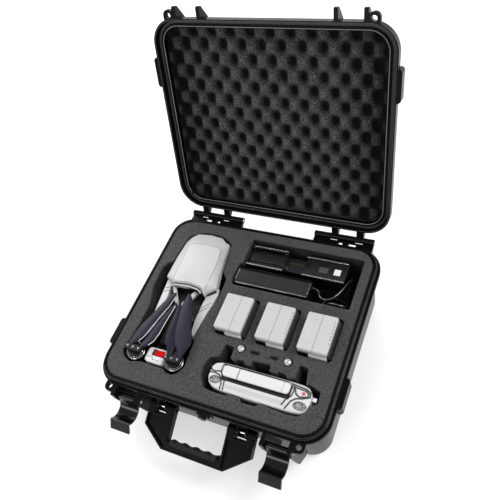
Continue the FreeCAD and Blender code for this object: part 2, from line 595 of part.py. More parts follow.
def battery_tabs(cx):
    front = bar(cx - 5.5, cx + 19.0, BATTERY_Y0 - 2.4, BATTERY_Y0 + 1.2, 96.0, 103.8, 0.8)
    back = bar(cx - 3.0, cx + 15.0, BATTERY_Y1 - 1.2, BATTERY_Y1 + 2.0, 98.0, 103.8, 0.8)
    return [front, back]


# ---------------------------------------------------------------- charger
HUB_TOP = 94.0
CORD_R = 1.3
CORD_ROUTE = [
    (85.0, 67.0, 90.0), (91.0, 67.0, 90.0), (96.2, 63.4, 91.0), (98.6, 57.4, 92.4),
    (102.8, 52.4, 93.8), (109.6, 50.8, 94.6), (117.0, 53.6, 94.6), (122.8, 60.6, 94.2),
    (127.2, 70.0, 93.4), (130.2, 81.0, 91.2), (131.4, 91.6, 86.6), (132.4, 100.4, 79.2),
    (134.6, 105.6, 69.0), (137.8, 105.2, 58.2), (140.6, 98.4, 50.4), (142.0, 88.0, 47.4),
    (142.0, 76.0, 47.0), (139.2, 64.6, 47.2), (132.6, 55.6, 47.6), (122.4, 50.0, 48.0),
    (111.0, 48.8, 48.2), (101.0, 52.6, 48.8), (95.2, 60.4, 50.0), (95.6, 69.2, 51.6),
    (102.6, 75.0, 53.8), (112.6, 76.0, 57.0), (122.4, 72.8, 61.2), (131.0, 66.6, 67.4),
    (137.4, 59.4, 75.6), (140.6, 52.2, 84.6), (138.8, 47.2, 92.6), (131.8, 45.8, 97.2),
    (122.8, 46.4, 97.2), (115.2, 46.8, 93.4), (110.2, 47.2, 86.4), (107.8, 47.4, 78.4),
    (107.8, 47.4, 70.6)]


def power_adapter():
    body = box(-29.6, 85.0, 44.6, 77.4, 44.4, 99.2)
    return rounded(body, 8.0, along_x)


def charger_hub():
    left = box(-26.0, 34.0, 82.4, 118.0, HUB_STEP + 0.4, HUB_TOP)
    left = left.cut(box(-30.0, 33.0, 87.0, 111.6, 89.0, 120.0))
    left = left.cut(box(-22.0, 29.0, 110.0, 114.6, 84.0, 120.0))
    left = left.fuse(box(-23.0, 31.0, 93.0, 108.0, 88.0, 91.6)).removeSplitter()
    middle = box(33.0, 68.0, 88.0, 112.0, HUB_STEP + 0.4, 86.0)
    right = box(62.0, 126.4, 83.0, 116.0, HUB_STEP + 0.4, HUB_TOP - 1.0)
    right = right.cut(box(60.0, 70.0, 96.0, 113.4, 86.0, 120.0))
    return join([left, middle, right])


def hub_rails():
    rails = []
    for x0, x1, y, z in ((-25.5, 33.0, 84.0, HUB_TOP), (-22.0, 33.0, 116.6, HUB_TOP),
                         (64.0, 126.0, 84.2, HUB_TOP - 1.0), (62.6, 125.0, 115.0, HUB_TOP - 1.0)):
        rails.append(bar(x0, x1, y - 0.8, y + 0.8, z, z + 0.8, 0.7))
    return rails


def hub_contacts():
    return [box(38.6 + 2.9 * k, 40.0 + 2.9 * k, 100.4, 104.6, 86.0, 87.0) for k in range(8)]


def hub_labels():
    return [box(108.4, 117.8, 93.0, 102.6, HUB_TOP - 1.0, HUB_TOP - 0.4)]


def hub_buttons():
    return [box(86.0, 99.0, 93.0, 102.0, HUB_TOP - 1.0, HUB_TOP - 0.5),
            Part.makeCylinder(2.2, 3.0, V(36.5, 91.5, 86.0))]


def cord(points, r):
    """Tube of straight runs joined by tangent arcs, each as large as its two runs allow."""
    pts = [V(*p) for p in points]
    edges, start = [], pts[0]
    length, radii = 0.0, []
    for a, b, c in zip(pts, pts[1:], pts[2:]):
        u, w = (a - b).normalize(), (c - b).normalize()
        turn = pi - u.getAngle(w)
        back = 0.45 * min((a - b).Length, (c - b).Length)
        radius = back / tan(turn / 2)
        p, q = b + u * back, b + w * back
        mid_dir = (u + w).normalize()
        mid = b + mid_dir * (hypot(radius, back) - radius)
        edges.append(Part.makeLine(start, p))
        edges.append(Part.Arc(p, mid, q).toShape())
        length += (p - start).Length + radius * turn
        radii.append(radius)
        start = q
    edges.append(Part.makeLine(start, pts[-1]))
    length += (pts[-1] - start).Length
    path = Part.Wire(edges)
    ring = Part.Wire([Part.makeCircle(r, pts[0], (pts[1] - pts[0]).normalize())])
    body = path.makePipeShell([ring], True, False)
    print("cord length %.1f mm, radii %s" % (length, " ".join("%.0f" % v for v in radii)))
    print("cord volume %.1f of %.1f" % (body.Volume, pi * r * r * length))
    return body


def cord_gland():
    x, y, z = CORD_ROUTE[0]
    return tube((x, y, z), (x + 2.6, y, z), 2.8).cut(tube((x - 1, y, z), (x + 4, y, z), CORD_R + 0.3))


def cord_end_plug():
    x, y, z = CORD_ROUTE[-1]
    return bar(x - 5.2, x + 5.2, y - 4.6, y + 4.6, z - 17.0, z, 1.8)


# ---------------------------------------------------------------- write the nodes
save("base_shell", base_shell())
foam_floor, foam_block = base_foam()
save("base_foam_floor", foam_floor)
save("base_foam", foam_block)
save("hinge_pins", both(tube((60.0, PIVOT_Y, PIVOT_Z), (150.6, PIVOT_Y, PIVOT_Z), HINGE_PIN_R)))
save("latch_pins", both(tube((RIB_IN[0], LATCH_PY, LATCH_PZ), (RIB_OUT[1], LATCH_PY, LATCH_PZ), LATCH_PIN_R)))
save("handle_pins", both(tube((44.0, HANDLE_PY, HANDLE_PZ), (76.0, HANDLE_PY, HANDLE_PZ), HANDLE_PIN_R)))
save("valve_body", valve_body())
save("valve_knob", valve_knob())
save("lid_shell", lid_open(lid_shell()))
save("lid_gasket", lid_open(lid_gasket()))
save("lid_foam", lid_open(lid_foam()))
latch_right = latch()
save("latch_left", mirror_x(latch_right))
save("latch_right", latch_right)
save("handle_frame", handle_frame())
save("handle_grip", handle_grip())

save("drone_belly", drone_belly())
save("drone_shell", drone_shell())
save("drone_deck", drone_deck())
save("drone_arm_left", side_arm(ARM_LEFT, 84.0, 96.0))
save("drone_arm_right", side_arm(ARM_RIGHT, 84.0, 97.0))
save("drone_motor_arms", [motor_arm(x, y, s) for (x, y), s in zip(MOTORS, (1, -1))])
save("drone_struts", [
    prism_z([(-117.5, 17), (-112, 17), (-97, -6), (-96, -12), (-101, -9)], 96.5, 101.0),
    prism_z([(-72, 16), (-78, 17), (-90, -8), (-88, -13), (-82, -8)], 96.5, 101.0)])
rotors = [rotor(x, y) for x, y in MOTORS]
save("drone_motors", [join([m, c]) for m, _, c in rotors])
save("motor_rings", [r for _, r, _ in rotors])
hubs = []
screws = []
for (x, y), angle in zip(MOTORS, HUB_ANGLE):
    hub = hub_bar(x, y, angle)
    for px, py in hub_points(x, y, angle):
        hub = hub.cut(Part.makeCylinder(1.2, 20, V(px, py, 104.0)))
        shank = Part.makeCylinder(1.2, 6.6, V(px, py, 104.7))
        head = Part.makeCylinder(1.6, 0.9, V(px, py, 111.2))
        screws.append(join([shank, head]))
    hubs.append(hub)
save("propeller_hubs", hubs)
save("hub_screws", screws)
for name, k in (("blades_left", 0), ("blades_right", 1)):
    (x, y), angle = MOTORS[k], HUB_ANGLE[k]
    first, _, last = hub_points(x, y, angle)
    upper, lower = (first, last) if k == 0 else (last, first)
    save(name, [blade(upper, BLADES[k][0], UPPER_BLADE_Z), blade(lower, BLADES[k][1], LOWER_BLADE_Z)])
guard_block = rounded(bar(*GUARD, 62.0, 101.0, 5.0), 2.5, at_height(101.0))
save("gimbal_guard", guard_block.cut(rounded_block(9.4, 4.2, 3.7, 99.0, 105.0, WINDOW_X, WINDOW_Y)))
save("gimbal_window", rounded_block(9.2, 4.0, 3.5, 99.0, 100.2, WINDOW_X, WINDOW_Y))

save("controller_body", controller_body())
save("controller_cover", controller_cover())
save("controller_sticks", [thumb_well(9.0, -103.0), thumb_well(124.0, -104.0)])
save("controller_button", Part.makeCylinder(1.9, 1.0, V(127.0, -88.0, 102.0)))
for n, x in enumerate(BATTERIES, 1):
    save("battery_%d_body" % n, battery_body(x))
    save("battery_%d_top" % n, battery_top(x))
    save("battery_%d_tabs" % n, battery_tabs(x))
save("power_adapter", power_adapter())
save("charger_hub", charger_hub())
save("hub_rails", hub_rails())
save("hub_contacts", hub_contacts())
save("hub_labels", hub_labels())
save("hub_buttons", hub_buttons())
save("cord_gland", cord_gland())
save("charger_cord", cord(CORD_ROUTE, CORD_R))
save("cord_plug", cord_end_plug())
for name, (x, y) in zip(("stick_left", "stick_right"), STICKS):
    dome = join([Part.makeCylinder(4.9, 15.4, V(x, y, 86.2)), Part.makeCylinder(5.1, 2.0, V(x, y, 98.0))])
    save(name, rounded(dome, 1.5, at_height(101.6)))
for name, (x0, x1) in zip(("plug_left", "plug_right"), PLUGS):
    shell = bar(x0, x1, PLUG_Y - 2.2, PLUG_Y + 2.2, 84.2, 99.2, 1.2)
    save(name, shell.cut(bar(x0 + 1.6, x1 - 1.6, PLUG_Y - 1.0, PLUG_Y + 1.0, 96.0, 101.0, 0.6)))
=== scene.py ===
import bmesh
import bpy
import json
import math
import numpy as np
from mathutils import Matrix, Vector, noise


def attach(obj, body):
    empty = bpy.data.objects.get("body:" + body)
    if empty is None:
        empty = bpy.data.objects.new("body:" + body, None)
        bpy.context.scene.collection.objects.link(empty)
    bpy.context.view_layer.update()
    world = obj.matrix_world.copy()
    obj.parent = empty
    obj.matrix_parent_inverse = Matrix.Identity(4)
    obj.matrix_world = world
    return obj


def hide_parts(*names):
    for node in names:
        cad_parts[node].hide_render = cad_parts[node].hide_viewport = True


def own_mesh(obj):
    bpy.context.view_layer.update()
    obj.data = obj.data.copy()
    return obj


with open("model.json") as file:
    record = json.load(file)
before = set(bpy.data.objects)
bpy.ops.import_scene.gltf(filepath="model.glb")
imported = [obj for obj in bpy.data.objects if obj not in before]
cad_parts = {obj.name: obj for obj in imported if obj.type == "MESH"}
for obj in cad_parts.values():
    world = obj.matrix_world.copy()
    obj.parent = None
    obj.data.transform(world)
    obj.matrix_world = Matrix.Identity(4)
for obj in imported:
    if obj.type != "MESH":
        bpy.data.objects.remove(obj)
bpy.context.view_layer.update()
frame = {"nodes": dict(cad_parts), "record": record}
NODES = frame["nodes"]
MM = 0.001

# the lid's hinge line and how far it stands open, as in the CAD
PIVOT_Y, PIVOT_Z, LID_OPEN = 159.1, 93.1, 110.3
LID_TURN = (Matrix.Translation((0, PIVOT_Y * MM, PIVOT_Z * MM))
            @ Matrix.Rotation(math.radians(-LID_OPEN), 4, "X")
            @ Matrix.Translation((0, -PIVOT_Y * MM, -PIVOT_Z * MM)))


# ------------------------------------------------------------------ camera
CAMERA_LENS, CAMERA_SENSOR = 41.23, 36.0
CAMERA_PLACE = (0.3168, -0.3095, 0.7761)
CAMERA_AXES = ((0.9018, 0.3637, -0.2334),      # to the right
               (-0.1732, 0.7990, 0.5758),      # up
               (0.3959, -0.4788, 0.7836))      # backwards


def make_camera():
    data = bpy.data.cameras.new("camera")
    data.sensor_width = CAMERA_SENSOR
    data.lens = CAMERA_LENS
    cam = bpy.data.objects.new("camera", data)
    bpy.context.scene.collection.objects.link(cam)
    turn = Matrix(CAMERA_AXES).transposed().to_4x4()
    cam.matrix_world = Matrix.Translation(CAMERA_PLACE) @ turn
    bpy.context.scene.camera = cam


make_camera()


# ------------------------------------------------------------------ materials
class Nodes:
    """Small helper that builds one material's node tree."""

    def __init__(self, name):
        self.material = bpy.data.materials.new(name)
        self.material.use_nodes = True
        self.tree = self.material.node_tree
        self.shader = self.tree.nodes["Principled BSDF"]
        self.place = self.add("ShaderNodeTexCoord").outputs["Object"]

    def add(self, kind, **settings):
        node = self.tree.nodes.new(kind)
        for key, value in settings.items():
            setattr(node, key, value)
        return node

    def link(self, source, target):
        self.tree.links.new(source, target)

    def noise(self, size_mm, detail=2.0, stretch=(1, 1, 1)):
        """Noise whose features are about size_mm across, 0 to 1."""
        node = self.add("ShaderNodeTexNoise")
        node.inputs["Scale"].default_value = 1.0 / (size_mm * MM)
        node.inputs["Detail"].default_value = detail
        mapping = self.add("ShaderNodeMapping")
        mapping.inputs["Scale"].default_value = stretch
        self.link(self.place, mapping.inputs["Vector"])
        self.link(mapping.outputs["Vector"], node.inputs["Vector"])
        return node.outputs["Fac"]

    def cells(self, size_mm):
        node = self.add("ShaderNodeTexVoronoi")
        node.inputs["Scale"].default_value = 1.0 / (size_mm * MM)
        self.link(self.place, node.inputs["Vector"])
        return node.outputs["Distance"]

    def ramp(self, source, pocket_shade, high, a, b):
        node = self.add("ShaderNodeMapRange")
        for key, value in zip(("From Min", "From Max", "To Min", "To Max"), (pocket_shade, high, a, b)):
            node.inputs[key].default_value = value
        self.link(source, node.inputs["Value"])
        return node.outputs["Result"]

    def mix(self, factor, a, b):
        node = self.add("ShaderNodeMix", data_type="RGBA")
        for socket, value in ((node.inputs[6], a), (node.inputs[7], b)):
            if isinstance(value, tuple):
                socket.default_value = value + (1.0,)
            else:
                self.link(value, socket)
        self.link(factor, node.inputs["Factor"])
        return node.outputs[2]

    def bump(self, height, depth_mm, before=None):
        node = self.add("ShaderNodeBump")
        node.inputs["Distance"].default_value = depth_mm * MM
        self.link(height, node.inputs["Height"])
        if before is not None:
            self.link(before, node.inputs["Normal"])
        return node.outputs["Normal"]

    def soft_edges(self, radius_mm):
        node = self.add("ShaderNodeBevel", samples=4)
        node.inputs["Radius"].default_value = radius_mm * MM
        return node.outputs["Normal"]


def plastic(name, color, rough, grain=0.7, depth=0.03, tone=0.12, edge=0.5, metal=0.0, coat=0.0,
            streak=(1, 1, 1), spread=0.06, shine=0.5, seams=0.0):
    """Moulded or metal finish: a fine grain, slow changes of tone and sheen, and softly rounded edges.
    With seams, the shade kept on a relief piece darkens it: painted shade in its grooves and recesses, and on
    a few pieces real dark marks."""
    n = Nodes(name)
    slow = n.noise(38.0, 3.0)
    fine = n.noise(grain, 3.0, streak)
    dark = tuple(c * (1 - tone) for c in color)
    light = tuple(min(1.0, c * (1 + tone)) for c in color)
    paint = n.mix(n.ramp(slow, 0.3, 0.7, 0.0, 1.0), dark, light)
    # painted shade in grooves and recesses, and any real dark marks, from the shade kept on the piece
    if seams:
        shade = n.add("ShaderNodeAttribute", attribute_name="shade").outputs["Fac"]
        paint = n.mix(n.ramp(shade, 0.0, 1.0, 0.0, seams), paint, tuple(c * 0.06 for c in color))
    n.link(paint, n.shader.inputs["Base Color"])
    n.link(n.ramp(fine, 0.25, 0.75, rough - spread, rough + spread), n.shader.inputs["Roughness"])
    n.shader.inputs["Metallic"].default_value = metal
    n.shader.inputs["Specular IOR Level"].default_value = shine
    if coat:
        n.shader.inputs["Coat Weight"].default_value = coat
        n.shader.inputs["Coat Roughness"].default_value = 0.12
    normal = n.soft_edges(edge) if edge else None
    n.link(n.bump(fine, depth, normal), n.shader.inputs["Normal"])
    return n.material


def foam_finish(name, dark, light, cell, depth, shade_below=None, hollows=False, sheen=0.08, shine=0.25):
    """Cut foam: open cells that read as a fine speckle, with slow patches of tone. Below the height
    shade_below, in mm, the walls and floors of the pockets are darkened as painted shade. With hollows, the
    shade kept on the piece darkens the bottoms of its hollows as painted shade."""
    n = Nodes(name)
    cell_map = n.cells(cell)
    fine = n.noise(cell * 0.8, 2.0)
    slow = n.noise(22.0, 2.0)
    speck = n.mix(n.ramp(fine, 0.35, 0.68, 0.0, 1.0), dark, light)
    middle = tuple((a + b) / 2 for a, b in zip(dark, light))
    paint = n.mix(n.ramp(slow, 0.35, 0.65, 0.0, 0.35), speck, middle)
    # painted shade: below that height the pocket walls and floors turn dark, fading out over 2.6 mm up to it
    if shade_below:
        split = n.add("ShaderNodeSeparateXYZ")
        n.link(n.place, split.inputs["Vector"])
        pocket_shade = n.ramp(split.outputs["Z"], (shade_below - 2.6) * MM, shade_below * MM, 1.0, 0.0)
        paint = n.mix(pocket_shade, paint, tuple(c * 0.12 for c in dark))
    # painted shade: the shade kept on the piece darkens the bottoms of its hollows
    if hollows:
        shade = n.add("ShaderNodeAttribute", attribute_name="shade").outputs["Fac"]
        paint = n.mix(n.ramp(shade, 0.0, 1.0, 0.0, 0.94), paint, tuple(c * 0.3 for c in dark))
    n.link(paint, n.shader.inputs["Base Color"])
    n.shader.inputs["Roughness"].default_value = 0.9
    n.shader.inputs["Specular IOR Level"].default_value = shine
    n.shader.inputs["Sheen Weight"].default_value = sheen
    n.shader.inputs["Sheen Roughness"].default_value = 0.6
    n.link(n.bump(fine, depth, n.bump(cell_map, depth)), n.shader.inputs["Normal"])
    return n.material


MATERIALS = {
    "shell_black": plastic("case_polymer", (0.0034, 0.0034, 0.0042), 0.25, 0.7, 0.012, 0.10, 0.8, shine=0.10),
    "latch_black": plastic("latch_polymer", (0.003, 0.003, 0.004), 0.20, 0.6, 0.008, 0.10, 1.3, shine=0.30),
    "foam_grey": foam_finish("cut_foam", (0.004, 0.004, 0.004), (0.108, 0.108, 0.109), 1.4, 0.55, 99.4),
    "foam_black": foam_finish("lid_foam", (0.003, 0.003, 0.003), (0.150, 0.150, 0.153), 1.8, 0.5,
                              hollows=True, sheen=0.0, shine=0.08),
    "seal_rubber": plastic("seal_rubber", (0.016, 0.016, 0.016), 0.4, 0.5, 0.02),
    "grip_rubber": plastic("grip_rubber", (0.006, 0.006, 0.007), 0.62, 0.5, 0.05, edge=0.8, shine=0.25),
    "pin_steel": plastic("pin_steel", (0.62, 0.63, 0.65), 0.2, 0.4, 0.004, 0.05, 0.2, 1.0),
    "drone_dark": plastic("drone_belly_plastic", (0.009, 0.009, 0.010), 0.5, 0.5, 0.03, shine=0.3),
    "drone_white": plastic("drone_shell_plastic", (0.535, 0.535, 0.54), 0.36, 0.5, 0.008, 0.03, 0.5),
    "drone_deck_grey": plastic("drone_deck_plastic", (0.014, 0.014, 0.014), 0.55, 0.4, 0.03, shine=0.3),
    "motor_dark": plastic("motor_anodised", (0.006, 0.006, 0.007), 0.30, 0.3, 0.01, 0.1, 0.3, 0.1, shine=0.4),
    "ring_steel": plastic("ring_steel", (0.60, 0.60, 0.61), 0.14, 0.3, 0.003, 0.06, 0.3, 1.0),
    "screw_steel": plastic("screw_steel", (0.42, 0.42, 0.43), 0.24, 0.3, 0.003, 0.06, 0.3, 1.0),
    "blade_violet": plastic("blade_composite", (0.0105, 0.0105, 0.024), 0.42, 0.5, 0.01, 0.08, 0.2, 0.0, 0.0,
                            (1, 6, 1), shine=0.22),
    "window_red": plastic("window_red", (0.62, 0.002, 0.004), 0.4, 0.5, 0.002, 0.3, 0.3, shine=0.06),
    "control_silver": plastic("controller_plastic", (0.60, 0.60, 0.61), 0.34, 0.4, 0.01, 0.03, 0.4,
                              seams=1.0),
    "control_white": plastic("controller_cover", (0.68, 0.68, 0.69), 0.3, 0.4, 0.005, 0.02, 0.5, seams=1.0),
    "control_recess": plastic("controller_recess", (0.30, 0.30, 0.31), 0.4, 0.4, 0.01),
    "button_red": plastic("button_red", (0.62, 0.05, 0.04), 0.3, 0.4, 0.004),
    "charger_black": plastic("charger_plastic", (0.004, 0.004, 0.0042), 0.18, 0.5, 0.004, 0.15, 1.4,
                             shine=0.8, spread=0.03),
    "rail_silver": plastic("rail_chrome", (0.5, 0.5, 0.51), 0.18, 0.4, 0.003, 0.05, 0.8, 0.9),
    "contact_gold": plastic("contact_gold", (0.17, 0.14, 0.085), 0.3, 0.4, 0.004, 0.1, 0.2, 1.0),
    "label_white": plastic("label_paper", (0.76, 0.76, 0.75), 0.6, 0.4, 0.01, 0.03, 0.1),
    "button_grey": plastic("button_grey", (0.06, 0.06, 0.065), 0.45, 0.4, 0.01),
    "cord_black": plastic("cord_rubber", (0.03, 0.03, 0.031), 0.2, 0.5, 0.004, edge=0.0, coat=1.0, shine=1.0),
    "stick_silver": plastic("stick_aluminium", (0.55, 0.55, 0.55), 0.35, 0.4, 0.01, 0.06, 0.3, 0.7),
    "plug_steel": plastic("plug_steel", (0.06, 0.06, 0.062), 0.25, 0.3, 0.004, 0.1, 0.2, 1.0),
    "battery_dark": plastic("battery_case", (0.030, 0.030, 0.032), 0.5, 0.4, 0.03, edge=1.0),
    "battery_grey": plastic("battery_cover", (0.52, 0.52, 0.515), 0.42, 0.5, 0.01, 0.03, 0.5, seams=1.0),
    "battery_tab": plastic("battery_tab", (0.56, 0.56, 0.55), 0.4, 0.4, 0.01, 0.03, 0.4),
}
GLOSSY_NODES = ("latch_left", "latch_right")      # smoother than the shell
SLOT_OF = {s["node"]: s["material_slot"] for s in frame["record"]["subparts"]}
for node_name, cad in NODES.items():
    cad.data.materials.clear()
    slot = "latch_black" if node_name in GLOSSY_NODES else SLOT_OF[node_name]
    cad.data.materials.append(MATERIALS[slot])


# ------------------------------------------------------------------ making pieces
def piece(name, verts, faces, body, slot, replaces=(), smooth=True, material=None):
    """New mesh piece that rides on a body. Vertices in metres, in the row frame."""
    mesh = bpy.data.meshes.new(name)
    mesh.from_pydata([tuple(v) for v in verts], [], faces)
    mesh.update()
    mesh.polygons.foreach_set("use_smooth", [smooth] * len(mesh.polygons))
    obj = bpy.data.objects.new(name, mesh)
    bpy.context.scene.collection.objects.link(obj)
    mesh.materials.append(material or MATERIALS[slot])
    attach(obj, body)
    if replaces:
        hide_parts(*replaces)
    return obj


def baked_mesh(obj):
    """The object's mesh with its modifiers applied."""
    graph = bpy.context.evaluated_depsgraph_get()
    return bpy.data.meshes.new_from_object(obj.evaluated_get(graph))


def remeshed(node, voxel_mm, ripple_mm):
    """Vertices and faces of a CAD node, remeshed fine, softened at its edges and made slightly uneven."""
    source = NODES[node].data.copy()
    source.materials.clear()
    bm = bmesh.new()
    bm.from_mesh(source)
    bmesh.ops.remove_doubles(bm, verts=bm.verts, dist=1e-6)
    bm.to_mesh(source)
    bm.free()
    obj = bpy.data.objects.new("work", source)
    bpy.context.scene.collection.objects.link(obj)
    remesh = obj.modifiers.new("remesh", "REMESH")
    remesh.mode = "VOXEL"
    remesh.voxel_size = voxel_mm * MM
    smooth = obj.modifiers.new("smooth", "SMOOTH")
    smooth.factor = 0.5
    smooth.iterations = 1
    mesh = baked_mesh(obj)
    count = len(mesh.vertices)
    place = np.empty(count * 3)
    normal = np.empty(count * 3)
    mesh.vertices.foreach_get("co", place)
    mesh.vertices.foreach_get("normal", normal)
    place, normal = place.reshape(-1, 3), normal.reshape(-1, 3)
    out = []
    for p, n in zip(place, normal):
        v = Vector(p)
        push = ripple_mm * MM * (noise.noise(v * 160.0) + 0.8 * noise.noise(v * 420.0))
        out.append(v + Vector(n) * push)
    faces = [tuple(f.vertices) for f in mesh.polygons]
    bpy.data.objects.remove(obj)
    return out, faces


def softened(points, share=0.28, steps=4):
    """Closed outline with each corner rounded; every input corner gives steps + 1 points."""
    out = []
    for k, p in enumerate(points):
        p, before, after = Vector(p), Vector(points[k - 1]), Vector(points[(k + 1) % len(points)])
        a, b = p.lerp(before, share), p.lerp(after, share)
        for i in range(steps + 1):
            t = i / steps
            out.append((a.lerp(p, t)).lerp(p.lerp(b, t), t))
    return out


def rings_mesh(rings):
    """Vertices and faces of a closed solid from rings of equal count, lowest first, in mm."""
    count = len(rings[0])
    verts = [tuple(c * MM for c in p) for ring in rings for p in ring]
    faces = []
    for r in range(len(rings) - 1):
        for k in range(count):
            a, b = r * count + k, r * count + (k + 1) % count
            faces.append((a, b, b + count, a + count))
    bottom, top = len(verts), len(verts) + 1
    for ring in (rings[0], rings[-1]):
        verts.append(tuple(sum(p[i] for p in ring) / count * MM for i in range(3)))
    last = (len(rings) - 1) * count
    for k in range(count):
        faces.append((bottom, (k + 1) % count, k))
        faces.append((top, last + k, last + (k + 1) % count))
    return verts, faces


def ring_at(outline, z, scale=1.0):
    """The outline at height z, scaled about the mean of its points."""
    cx, cy = sum((Vector(p).to_2d() for p in outline), Vector((0, 0))) / len(outline)
    return [(cx + (p[0] - cx) * scale, cy + (p[1] - cy) * scale, z) for p in outline]


def outline_span(outline, x):
    """Lowest and highest y of a convex outline at x."""
    ys = []
    for a, b in zip(outline, outline[1:] + outline[:1]):
        lo, hi = min(a[0], b[0]), max(a[0], b[0])
        if lo <= x <= hi and hi > lo:
            ys.append(a[1] + (b[1] - a[1]) * (x - a[0]) / (b[0] - a[0]))
    return min(ys), max(ys)


def keep_shade(obj, shades):
    """One shade per vertex, 0 to 1, which the finishes read to darken grooves and hollows: painted shade
    there and in recesses, and on a few pieces real dark marks.
    """
    attribute = obj.data.attributes.new("shade", "FLOAT", "POINT")
    attribute.data.foreach_set("value", shades)


def crowded(k, count):
    """k / count drawn part of the way towards 0 or 1, so that grid lines crowd at both ends."""
    return 0.35 * (0.5 - 0.5 * math.cos(math.pi * k / count)) + 0.65 * k / count


def relief(name, outline, z_base, height, nx, ny, body, slot, replaces=()):
    """Convex plate whose top follows height(x, y, edge) -> (z, shade); edge is the distance to its outline.
    The shade is kept on the mesh."""
    x0, x1 = min(p[0] for p in outline), max(p[0] for p in outline)
    verts, shades, faces = [], [], []
    for i in range(nx + 1):
        x = x0 + 0.01 + (x1 - x0 - 0.02) * crowded(i, nx)
        y0, y1 = outline_span(outline, x)
        for j in range(ny + 1):
            y = y0 + (y1 - y0) * crowded(j, ny)
            edge = min(y - y0, y1 - y, x - x0, x1 - x)
            z, shade = height(x, y, edge)
            verts.append((x * MM, y * MM, z * MM))
            shades.append(shade)
    count = len(verts)
    verts += [(x, y, z_base * MM) for x, y, _ in verts]
    shades += [0.0] * count
    for i in range(nx):
        for j in range(ny):
            a = i * (ny + 1) + j
            quad = (a, a + ny + 1, a + ny + 2, a + 1)
            faces.append(quad)
            faces.append(tuple(count + k for k in reversed(quad)))
    rim = [i * (ny + 1) for i in range(nx + 1)] + [nx * (ny + 1) + j for j in range(1, ny + 1)]
    rim += [i * (ny + 1) + ny for i in range(nx - 1, -1, -1)] + [j for j in range(ny - 1, 0, -1)]
    for a, b in zip(rim, rim[1:] + rim[:1]):
        faces.append((b, a, count + a, count + b))
    obj = piece(name, verts, faces, body, slot, replaces)
    keep_shade(obj, shades)


def groove(x, y, lines, width):
    """1 on the middle of any of the polylines, falling to 0 at width from it."""
    best = width
    for line in lines:
        for (ax, ay), (bx, by) in zip(line, line[1:]):
            dx, dy = bx - ax, by - ay
            t = max(0.0, min(1.0, ((x - ax) * dx + (y - ay) * dy) / (dx * dx + dy * dy)))
            best = min(best, math.hypot(x - ax - t * dx, y - ay - t * dy))
    return 1.0 - best / width


def ribbon(name, points, width, lift, body, slot, on=None):
    """Flat strip along points, in mm, for a fine line or a bright edge; with on, it is laid on that piece."""
    graph = bpy.context.evaluated_depsgraph_get()
    verts, faces, fine = [], [], []
    for a, b in zip(points, points[1:]):
        a, b = Vector(a), Vector(b)
        steps = max(1, int((b - a).length / 1.5))
        fine += [a.lerp(b, k / steps) for k in range(steps)]
    fine.append(Vector(points[-1]))
    for k, p in enumerate(fine):
        along = (fine[min(k + 1, len(fine) - 1)] - fine[max(k - 1, 0)]).normalized()
        side = Vector((-along.y, along.x, 0.0)).normalized() * (width / 2)
        for q in (p - side, p + side):
            z = q.z
            if on is not None:
                above = Vector((q.x, q.y, 200.0)) * MM
                found, place, _, _ = on.evaluated_get(graph).ray_cast(above, Vector((0, 0, -1)))
                z = place.z / MM if found else z
            verts.append((q.x, q.y, z + lift))
            verts.append((q.x, q.y, z - 0.25))
    for k in range(len(fine) - 1):
        a, b = 4 * k, 4 * k + 4
        faces += [(a, b, b + 2, a + 2), (a + 1, a + 3, b + 3, b + 1)]
        faces += [(a, a + 1, b + 1, b), (a + 2, b + 2, b + 3, a + 3)]
    end = 4 * len(fine)
    faces += [(0, 2, 3, 1), (end - 4, end - 3, end - 1, end - 2)]
    piece(name, [tuple(c * MM for c in v) for v in verts], faces, body, slot, smooth=False)


def revolved(profile, centre, count=48, ripple=None):
    """Rings of a turned shape from (radius, z) pairs, in mm; ripple(angle, z) changes the radius."""
    rings = []
    for r, z in profile:
        ring = []
        for k in range(count):
            a = 2 * math.pi * k / count
            rr = r + (ripple(a, z) if ripple and r > 0.5 else 0.0)
            ring.append((centre[0] + rr * math.cos(a), centre[1] + rr * math.sin(a), z))
        rings.append(ring)
    return rings


# ------------------------------------------------------------------ foam
def make_base_foam():
    verts, faces = remeshed("base_foam", 1.2, 0.14)
    block = piece("base_foam_block", verts, faces, "base", "foam_grey", ["base_foam"])
    verts, faces = remeshed("base_foam_floor", 3.0, 0.15)
    floor = piece("base_foam_sheet", verts, faces, "base", "foam_grey", ["base_foam_floor"])


EGG_X, EGG_Y = 28.6, 38.6          # distance between hollows in a row, and between like rows
EGG_PHASE_X, EGG_PHASE_Y = 128.4, 109.0
EGG_PEAK, EGG_VALLEY = 104.4, 119.2
LID_FOAM_HALF = (157.5, 134.1, 25.4)      # half width, half depth, corner radius
LID_FOAM_GRID = 1.7
LID_FOAM_BACK = 137.2


def egg_height(x, y):
    """Height of the convoluted face, lid shut, in mm."""
    wave = (math.cos(2 * math.pi * (x + EGG_PHASE_X) / EGG_X)
            * math.cos(2 * math.pi * (y + EGG_PHASE_Y) / EGG_Y))
    middle, half = (EGG_PEAK + EGG_VALLEY) / 2, (EGG_VALLEY - EGG_PEAK) / 2
    return middle + half * math.copysign(abs(wave) ** 0.9, wave)


